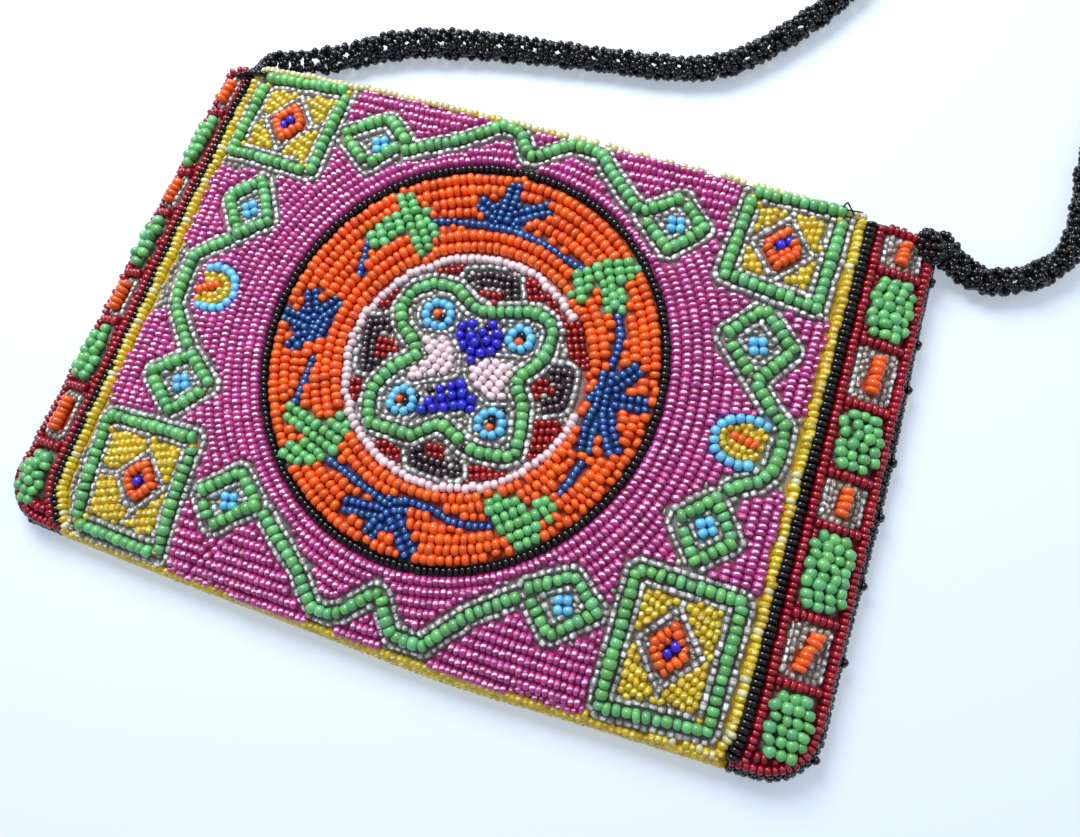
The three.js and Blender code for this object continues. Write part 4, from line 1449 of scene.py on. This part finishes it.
# A cloth wall: a fine face outside, a coarse one inside, and a border between them
def clothWall(name, node, xAt, columns):
    skip = ground["skip"]
    t, v = np.meshgrid(np.linspace(0, 1, columns * skip + 1), np.linspace(-1, 1, ground["rows"] * skip + 1))
    x = xAt(t, v)
    y = yAt(x, v)
    top = frontHeight(x, y)
    outer = np.stack([x, y, top - ground["depth"]], axis=-1)
    inner = np.stack([x, y, top - ground["inside"]], axis=-1)[::skip, ::skip]
    fine = np.arange(x.size).reshape(x.shape)
    coarse = x.size + np.arange(inner.shape[0] * inner.shape[1]).reshape(inner.shape[:2])
    faces = squares(fine).tolist() + squares(coarse)[:, ::-1].tolist()
    fineRing, coarseRing = border(fine).tolist(), border(coarse).tolist()
    for k in range(len(coarseRing)):
        run = [fineRing[(skip * k + step) % len(fineRing)] for step in range(skip, -1, -1)]
        faces.append(run + [coarseRing[k], coarseRing[(k + 1) % len(coarseRing)]])
    mesh = bpy.data.meshes.new(name)
    points = np.vstack([outer.reshape(-1, 3), inner.reshape(-1, 3)]) * mm
    mesh.from_pydata(points.tolist(), [], faces)
    mesh.polygons.foreach_set("use_smooth", np.ones(len(mesh.polygons), bool))
    # Each point takes the tint of the nearest kind of bead, painted light included
    found = np.array([tints[cellAt(*place)] for place in zip(x.ravel(), y.ravel())])
    shades = np.vstack([palette[found], np.tile(insideTint, (coarse.size, 1))])
    layer = mesh.attributes.new("clothGlowTint", "FLOAT_COLOR", "POINT")
    layer.data.foreach_set("color", shades.astype(np.float32).ravel())
    addPiece(name, mesh, clothMaterial, node)


def panelX(t, v):
    return panelEdge(-1, v) + ground["gap"] + t * (panelEdge(1, v) - panelEdge(-1, v) - 2 * ground["gap"])


def bandX(side, t, v):
    gap = side * ground["gap"]
    return panelEdge(side, v) + gap + t * (sewnEdge(side, v) - panelEdge(side, v) - gap)


tints = tintMap()
palette = np.array([bareTint] + [colour(*clothGlowTints[kind]) for kind in kindNames])
clothMaterial = wovenCloth("groundCloth", groundWeave)
clothWall("panelGround", "front_panel", panelX, 25)
clothWall("rightBandGround", "right_band", lambda t, v: bandX(1, t, v), 2)
clothWall("leftBandGround", "left_band", lambda t, v: bandX(-1, 1 - t, v), 2)
print("cloth ground made, triangles so far:", sum(triangles.values()))


# Beads threaded along a free curve: bead middles with the way of the thread and the side that faces out
strungVary = {"long": 0.06, "wide": 0.05}


def strungBeads(name, form, kind, node, strings, sizes, slot=None):
    centres, ways, normals = [np.array(part) for part in zip(*strings)]
    longs = sizes["long"] * dice.normal(1, strungVary["long"], len(centres))
    wides = sizes["wide"] * dice.normal(1, strungVary["wide"], len(centres))
    joinedBeads(name, form, kind, node, centres, ways, normals, longs, wides, slot)


# Edging: short strings of beads whipped round the seam from front to back, with a few loose bumps
edging = {
    "beads": 5, "middle": 3.0, "halfHigh": 2.15, "inset": -0.1, "scatter": 0.5,
    "startAngle": 82, "sweep": 160, "shares": (-0.1, 1.1, 25), "firstBump": 4.0, "bumpVary": (0.6, 1.5),
    "bumpAt": 0.35, "bumpHalf": 0.2, "firstPick": 2, "picks": 20,
    "left": {"pitch": 1.55, "slant": 0.6, "out": 0.4, "atBottom": 1.0, "bumpEvery": 14.0, "bumpOut": 0.5,
             "swell": {"axis": 1, "at": 0.0, "half": 30.0, "out": 0.0}},
    "right": {"pitch": 1.5, "slant": 0.8, "out": 1.0, "atBottom": 1.4, "bumpEvery": 15.0, "bumpOut": 1.1,
              "swell": {"axis": 1, "at": 2.0, "half": 30.0, "out": 1.0}},
    "bottom": {"pitch": 1.45, "slant": 2.6, "out": 1.05, "atBottom": 1.05, "bumpEvery": 999.0, "bumpOut": 0.0,
               "swell": {"axis": 0, "at": 20.0, "half": 24.0, "out": 1.0}},
    "black": {"long": 1.4, "wide": 1.75}, "yellow": {"long": 1.45, "wide": 1.8},
}


def bottomSeam():
    x = np.linspace(panelEdge(-1, -1), panelEdge(1, -1), num=120)
    return evenly(np.stack([x, bottomEdge(x)], axis=1))


def whipped(seam, outward, style):
    strings = []
    ways = np.gradient(seam, axis=0)
    ways /= np.linalg.norm(ways, axis=1, keepdims=True)
    outs = outward * np.stack([ways[:, 1], -ways[:, 0]], axis=1)
    pitch = style["pitch"] / lineStep
    loose = style["swell"]
    nextBump = edging["firstBump"]
    for k in range(int(len(seam) / pitch)):
        base = (k + 0.5) * pitch + dice.normal(0, edging["scatter"])
        bumped = base * lineStep > nextBump
        if bumped:
            nextBump = base * lineStep + style["bumpEvery"] * dice.uniform(*edging["bumpVary"])
        line, facings = [], []
        for share in np.linspace(*edging["shares"]):
            turn = math.radians(edging["startAngle"] - edging["sweep"] * share)
            index = int(np.clip(base + style["slant"] * (share - 0.5) / lineStep, 0, len(seam) - 1))
            fromBump = (share - edging["bumpAt"]) / edging["bumpHalf"]
            fromSwell = (seam[index][loose["axis"]] - loose["at"]) / loose["half"]
            swell = style["bumpOut"] * math.exp(-fromBump ** 2) if bumped else 0.0
            swell += (style["atBottom"] - style["out"]) * max(0.0, -outs[index][1])
            swell += loose["out"] * math.exp(-fromSwell ** 2)
            spot = seam[index] + outs[index] * (edging["inset"] + (style["out"] + swell) * math.cos(turn))
            line.append((*spot, edging["middle"] + edging["halfHigh"] * math.sin(turn)))
            facings.append((*(outs[index] * math.cos(turn)), math.sin(turn)))
        line = np.array(line)
        tangents = np.gradient(line, axis=0)
        for bead in range(edging["beads"]):
            pick = int(round((bead + 0.5) / edging["beads"] * edging["picks"])) + edging["firstPick"]
            strings.append((line[pick], tangents[pick], facings[pick]))
    return strings


for side, label in ((-1, "left"), (1, "right")):
    strings = whipped(sideSeam(side), -side, edging[label])
    strungBeads(label + "Edging", "fine", "black", label + "_edging", strings, edging["black"])
strings = whipped(bottomSeam(), 1, edging["bottom"])
strungBeads("bottomEdging", "fine", "yellow", "bottom_edging", strings, edging["yellow"])


# Rim: pale beads that peep over the mouth of the panel, closer together at its left
rim = {"beyond": 0.1, "under": 0.8, "long": 1.5, "wide": 1.9, "scatter": 0.12, "facing": (0.0, 0.5, 0.86),
       "ends": 1, "sparseFrom": 8.0, "sparseTo": 52.0, "sparse": 0.4, "yellowFrom": -20.0,
       "yellowShare": 0.25}


def rimRow(fromX, toX):
    count = int((toX - fromX) / (rim["long"] * bandPitch))
    x = fromX + (np.arange(count) + 0.5) * (toX - fromX) / count
    y = topEdge(x) + rim["beyond"] + dice.normal(0, rim["scatter"], count)
    z = frontHeight(x, y) - rim["under"] + dice.normal(0, rim["scatter"], count)
    line = np.stack([x, y, z], axis=1)
    ways = np.gradient(line, axis=0)
    missing = (x > rim["sparseFrom"]) & (x < rim["sparseTo"]) & (dice.random(count) < rim["sparse"])
    strong = (x > rim["yellowFrom"]) & (x < rim["sparseFrom"]) & (dice.random(count) < rim["yellowShare"])
    rows = {"paleYellow": [], "yellow": []}
    for k in np.flatnonzero(~missing):
        rows["yellow" if strong[k] else "paleYellow"].append((line[k], ways[k], rim["facing"]))
    return rows


for kind, strings in rimRow(panelEdge(-1, 1) + rim["ends"], panelEdge(1, 1) - rim["ends"]).items():
    strungBeads("rim" + capitalled(kind), "fine", kind, "front_panel", strings, rim)


# A free line of places as strings, taking one place in a few
def threaded(points, every, facing):
    line = lineThrough(points, rounded=True)
    return [(place, way, facing) for place, way in zip(line[::every], np.gradient(line, axis=0)[::every])]


# A loose end of dark thread at the mouth, in short stiff lengths
thread = {"long": 0.8, "wide": 0.42, "every": 2, "facing": (0.0, 0.6, 0.8),
          "ends": [[(72.6, 58.2, 9.3), (72.9, 59.3, 10.2), (73.4, 60.1, 10.6), (74.3, 59.4, 10.3),
                    (75.6, 58.2, 9.3)],
                   [(73.0, 58.9, 9.8), (74.6, 58.9, 9.8), (76.9, 59.2, 9.5)]]}
strings = []
for end in thread["ends"]:
    strings += threaded(end, thread["every"], thread["facing"])
strungBeads("looseThread", "rope", "black", "front_panel", strings, thread, "black_beads")
print("edging and rim made, triangles so far:", sum(triangles.values()))


# Strap: a netted tube, loops of small beads hung round it in a spiral, from the left corner to the right one
strap = {
    "leftEnd": [(-79.4, 60.4, 8.4), (-79.9, 62.3, 6.6), (-79.6, 63.8, 4.6), (-78.4, 65.7, 4.4),
                (-75.8, 67.2, 4.0)],
    "lying": [(-67.2, 69.4), (-58.3, 72.9), (-50.0, 77.2), (-41.5, 80.7), (-34.0, 82.2), (-27.0, 83.6),
              (-16.0, 84.9), (-5.0, 85.9), (6.0, 86.8), (17.0, 87.6), (27.0, 88.9), (34.5, 91.0),
              (41.0, 95.2), (47.0, 101.0), (52.5, 107.4), (57.5, 114.5), (62.5, 124.0), (66.0, 136.0),
              (67.8, 154.0), (67.5, 178.0), (68.0, 204.0), (71.5, 230.0), (80.5, 254.0), (95.5, 270.0),
              (114.5, 275.0), (133.0, 268.5), (145.5, 252.0), (151.0, 228.0), (150.5, 203.0),
              (145.5, 178.0), (138.0, 152.0), (130.0, 127.0), (124.2, 105.0), (122.2, 86.0),
              (123.0, 74.0), (122.2, 64.5), (117.6, 57.8), (111.0, 53.8), (105.0, 52.8)],
    "lyingHeight": 3.4,
    "rightEnd": [(100.4, 54.7, 3.6), (96.2, 57.5, 3.8), (94.6, 57.4, 5.6)],
    "beadSize": {"long": 1.5, "wide": 1.75}, "close": 0.97, "lowest": 1.25,
}
netting = {
    "loops": 4, "advance": 2.35, "stretched": 4.4, "stretchEnd": 40.0, "from": 9.0, "until": 0.6,
    "core": 1.65, "bulge": 0.85, "bulgeVary": (0.8, 1.25), "droop": 2.3, "droopVary": (0.75, 1.2),
    "taper": 17.0, "rootShare": 0.5, "thickEnd": 10.0, "thick": 0.2, "spiral": 0.12, "scatter": 0.08,
    "full": {"at": 50.0, "half": 26.0, "more": 0.32},
}

# Single strands at the left root and a bunch of beads at the right one
roots = {
    "strands": [[(-81.7, 59.0, 8.0), (-79.9, 59.7, 8.4), (-78.3, 60.8, 8.3), (-77.9, 63.1, 7.1),
                 (-78.3, 65.6, 5.6), (-77.5, 68.2, 4.5), (-74.9, 67.8, 4.0)],
                [(-78.0, 60.2, 8.7), (-76.9, 62.6, 7.4), (-76.9, 64.8, 6.0), (-76.6, 67.0, 4.6)],
                [(-77.2, 60.2, 9.0), (-74.8, 60.4, 9.0), (-72.8, 61.0, 8.5)]],
    "every": 7, "facing": (-0.3, 0.3, 0.9),
    "bunchAt": (93.2, 56.2, 7.0), "bunchHalf": (3.7, 2.3, 1.9), "bunchTurn": -1.0, "bunchBeads": 40,
    "bunchStep": 2.4, "bunchSway": 0.4, "bunchSways": 5,
}


def nettedBeads():
    lying = [(x, y, strap["lyingHeight"]) for x, y in strap["lying"]]
    line = lineThrough(strap["leftEnd"] + lying + strap["rightEnd"], rounded=True)
    reach = np.concatenate([[0], np.cumsum(np.linalg.norm(np.diff(line, axis=0), axis=1))])
    length = reach[-1]

    def along(far):
        return np.array([np.interp(far, reach, line[:, k]) for k in range(3)])

    def onTube(far, turn, radius):
        far = min(max(far, 0.0), length)
        way = along(min(far + 0.5, length)) - along(max(far - 0.5, 0))
        way /= np.linalg.norm(way)
        side = np.cross(way, (0.0, 0.0, 1.0))
        side /= np.linalg.norm(side)
        facing = math.cos(turn) * side + math.sin(turn) * np.cross(side, way)
        return along(far) + radius * facing, facing

    strings = []
    far, loop = netting["from"], 0
    full = netting["full"]
    while far < length - netting["until"]:
        slack = max(0.0, 1 - far / netting["stretchEnd"])
        advance = netting["advance"] + (netting["stretched"] - netting["advance"]) * slack
        stepOn = advance / netting["loops"]
        scatter = dice.normal(0, netting["scatter"])
        startTurn = 2 * math.pi * loop / netting["loops"] + netting["spiral"] * loop + scatter
        grown = netting["rootShare"] + (1 - netting["rootShare"]) * min(1.0, far / netting["taper"])
        grown += netting["thick"] * max(0.0, 1 - (length - far) / netting["thickEnd"])
        grown += full["more"] * math.exp(-((far - full["at"]) / full["half"]) ** 2)
        droop = netting["droop"] * dice.uniform(*netting["droopVary"])
        bulge = netting["bulge"] * dice.uniform(*netting["bulgeVary"])
        curve = []
        for share in np.linspace(0, 1, num=41):
            arch = 4 * share * (1 - share)
            turn = startTurn + 2 * math.pi / netting["loops"] * share
            radius = grown * (netting["core"] + bulge * arch)
            curve.append(onTube(far + stepOn * share + droop * (arch - 0.5), turn, radius))
        places = np.array([place for place, facing in curve])
        ways = np.gradient(places, axis=0)
        gone = np.concatenate([[0], np.cumsum(np.linalg.norm(np.diff(places, axis=0), axis=1))])
        beads = max(2, int(round(gone[-1] / (strap["close"] * strap["beadSize"]["long"]))))
        for bead in range(beads):
            pick = int(np.argmin(np.abs(gone - (bead + 0.5) / beads * gone[-1])))
            places[pick][2] = max(places[pick][2], strap["lowest"])
            strings.append((places[pick], ways[pick], curve[pick][1]))
        far += stepOn
        loop += 1
    return strings


def rootBeads():
    strings = []
    for strand in roots["strands"]:
        strings += threaded(strand, roots["every"], roots["facing"])
    wayX, wayY = math.cos(roots["bunchTurn"]), math.sin(roots["bunchTurn"])
    for k in range(roots["bunchBeads"]):
        level = 1 - 2 * (k + 0.5) / roots["bunchBeads"]
        turn = roots["bunchStep"] * k
        flat = math.sqrt(1 - level * level)
        out, aside, up = np.array([flat * math.cos(turn), flat * math.sin(turn), level]) * roots["bunchHalf"]
        place = np.array(roots["bunchAt"]) + [out * wayX - aside * wayY, out * wayY + aside * wayX, up]
        facing = place - np.array(roots["bunchAt"])
        sway = roots["bunchSway"] * math.sin(roots["bunchSways"] * turn)
        way = np.cross(facing, [wayX, wayY, sway])
        strings.append((place, way, facing / np.linalg.norm(facing)))
    return strings


strapBeads = nettedBeads() + rootBeads()
half = len(strapBeads) // 2
for name, part in (("strapFirst", strapBeads[:half]), ("strapSecond", strapBeads[half:])):
    strungBeads(name, "rope", "black", "strap", part, strap["beadSize"])
print("strap netted, triangles in all:", sum(triangles.values()))


# Back: plain black cloth
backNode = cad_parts["back_panel"]
backNode.data.materials.clear()
backNode.data.materials.append(wovenCloth("backCloth", backWeave))
print("back dressed")


# Floor and light
floorLook = {"colour": colour(193, 205, 222), "glow": colour(230, 240, 251), "glowStrength": 0.42,
             "rough": 0.6, "reach": 3.0}


def stageFloor():
    material, tree, shader = newMaterial("paleFloor")
    shader.inputs["Base Color"].default_value = floorLook["colour"]
    shader.inputs["Emission Color"].default_value = floorLook["glow"]
    shader.inputs["Emission Strength"].default_value = floorLook["glowStrength"]
    shader.inputs["Roughness"].default_value = floorLook["rough"]
    reach = floorLook["reach"]
    mesh = bpy.data.meshes.new("floor")
    mesh.from_pydata([(-reach, -reach, 0), (reach, -reach, 0), (reach, reach, 0), (-reach, reach, 0)], [],
                     [(0, 1, 2, 3)])
    mesh.materials.append(material)
    floor = addObject("floor", mesh)


# Sky from the horizon up, and two round lamps that shine at the pouch
studio = {
    "zenith": colour(236, 243, 255), "low": colour(150, 158, 172), "horizon": colour(250, 252, 255),
    "skyStrength": 0.42, "upperRamp": (0.0, 0.8), "horizonRamp": (0.08, 0.4),
    "lamps": [
        {"name": "window", "place": (-0.19, 0.29, 0.39), "size": 0.32, "power": 3.0},
        {"name": "fill", "place": (0.5, 0.45, 0.7), "size": 0.8, "power": 1.3},
    ],
}


def setLight():
    world = bpy.data.worlds.new("studio")
    bpy.context.scene.world = world
    world.use_nodes = True
    tree = world.node_tree
    sky = tree.nodes["Background"]
    place = addNode(tree, "ShaderNodeTexCoord", (-800, 0))
    parts = addNode(tree, "ShaderNodeSeparateXYZ", (-600, 0))
    tree.links.new(place.outputs["Generated"], parts.inputs[0])
    up = parts.outputs[2]
    upper = mixColour(tree, ramp(tree, up, *studio["upperRamp"]), studio["low"], studio["zenith"])
    blend = mixColour(tree, ramp(tree, up, *studio["horizonRamp"]), studio["horizon"], upper)
    tree.links.new(blend, sky.inputs["Color"])
    sky.inputs["Strength"].default_value = studio["skyStrength"]
    for lamp in studio["lamps"]:
        light = bpy.data.lights.new(lamp["name"], "AREA")
        light.shape = "DISK"
        light.size = lamp["size"]
        light.energy = lamp["power"]
        holder = addObject(lamp["name"], light)
        holder.location = lamp["place"]
        holder.rotation_mode = "QUATERNION"
        holder.rotation_quaternion = Vector(lamp["place"]).to_track_quat("Z", "Y")


stageFloor()
setLight()
bpy.context.scene.view_settings.view_transform = "Standard"
print("floor and light set")
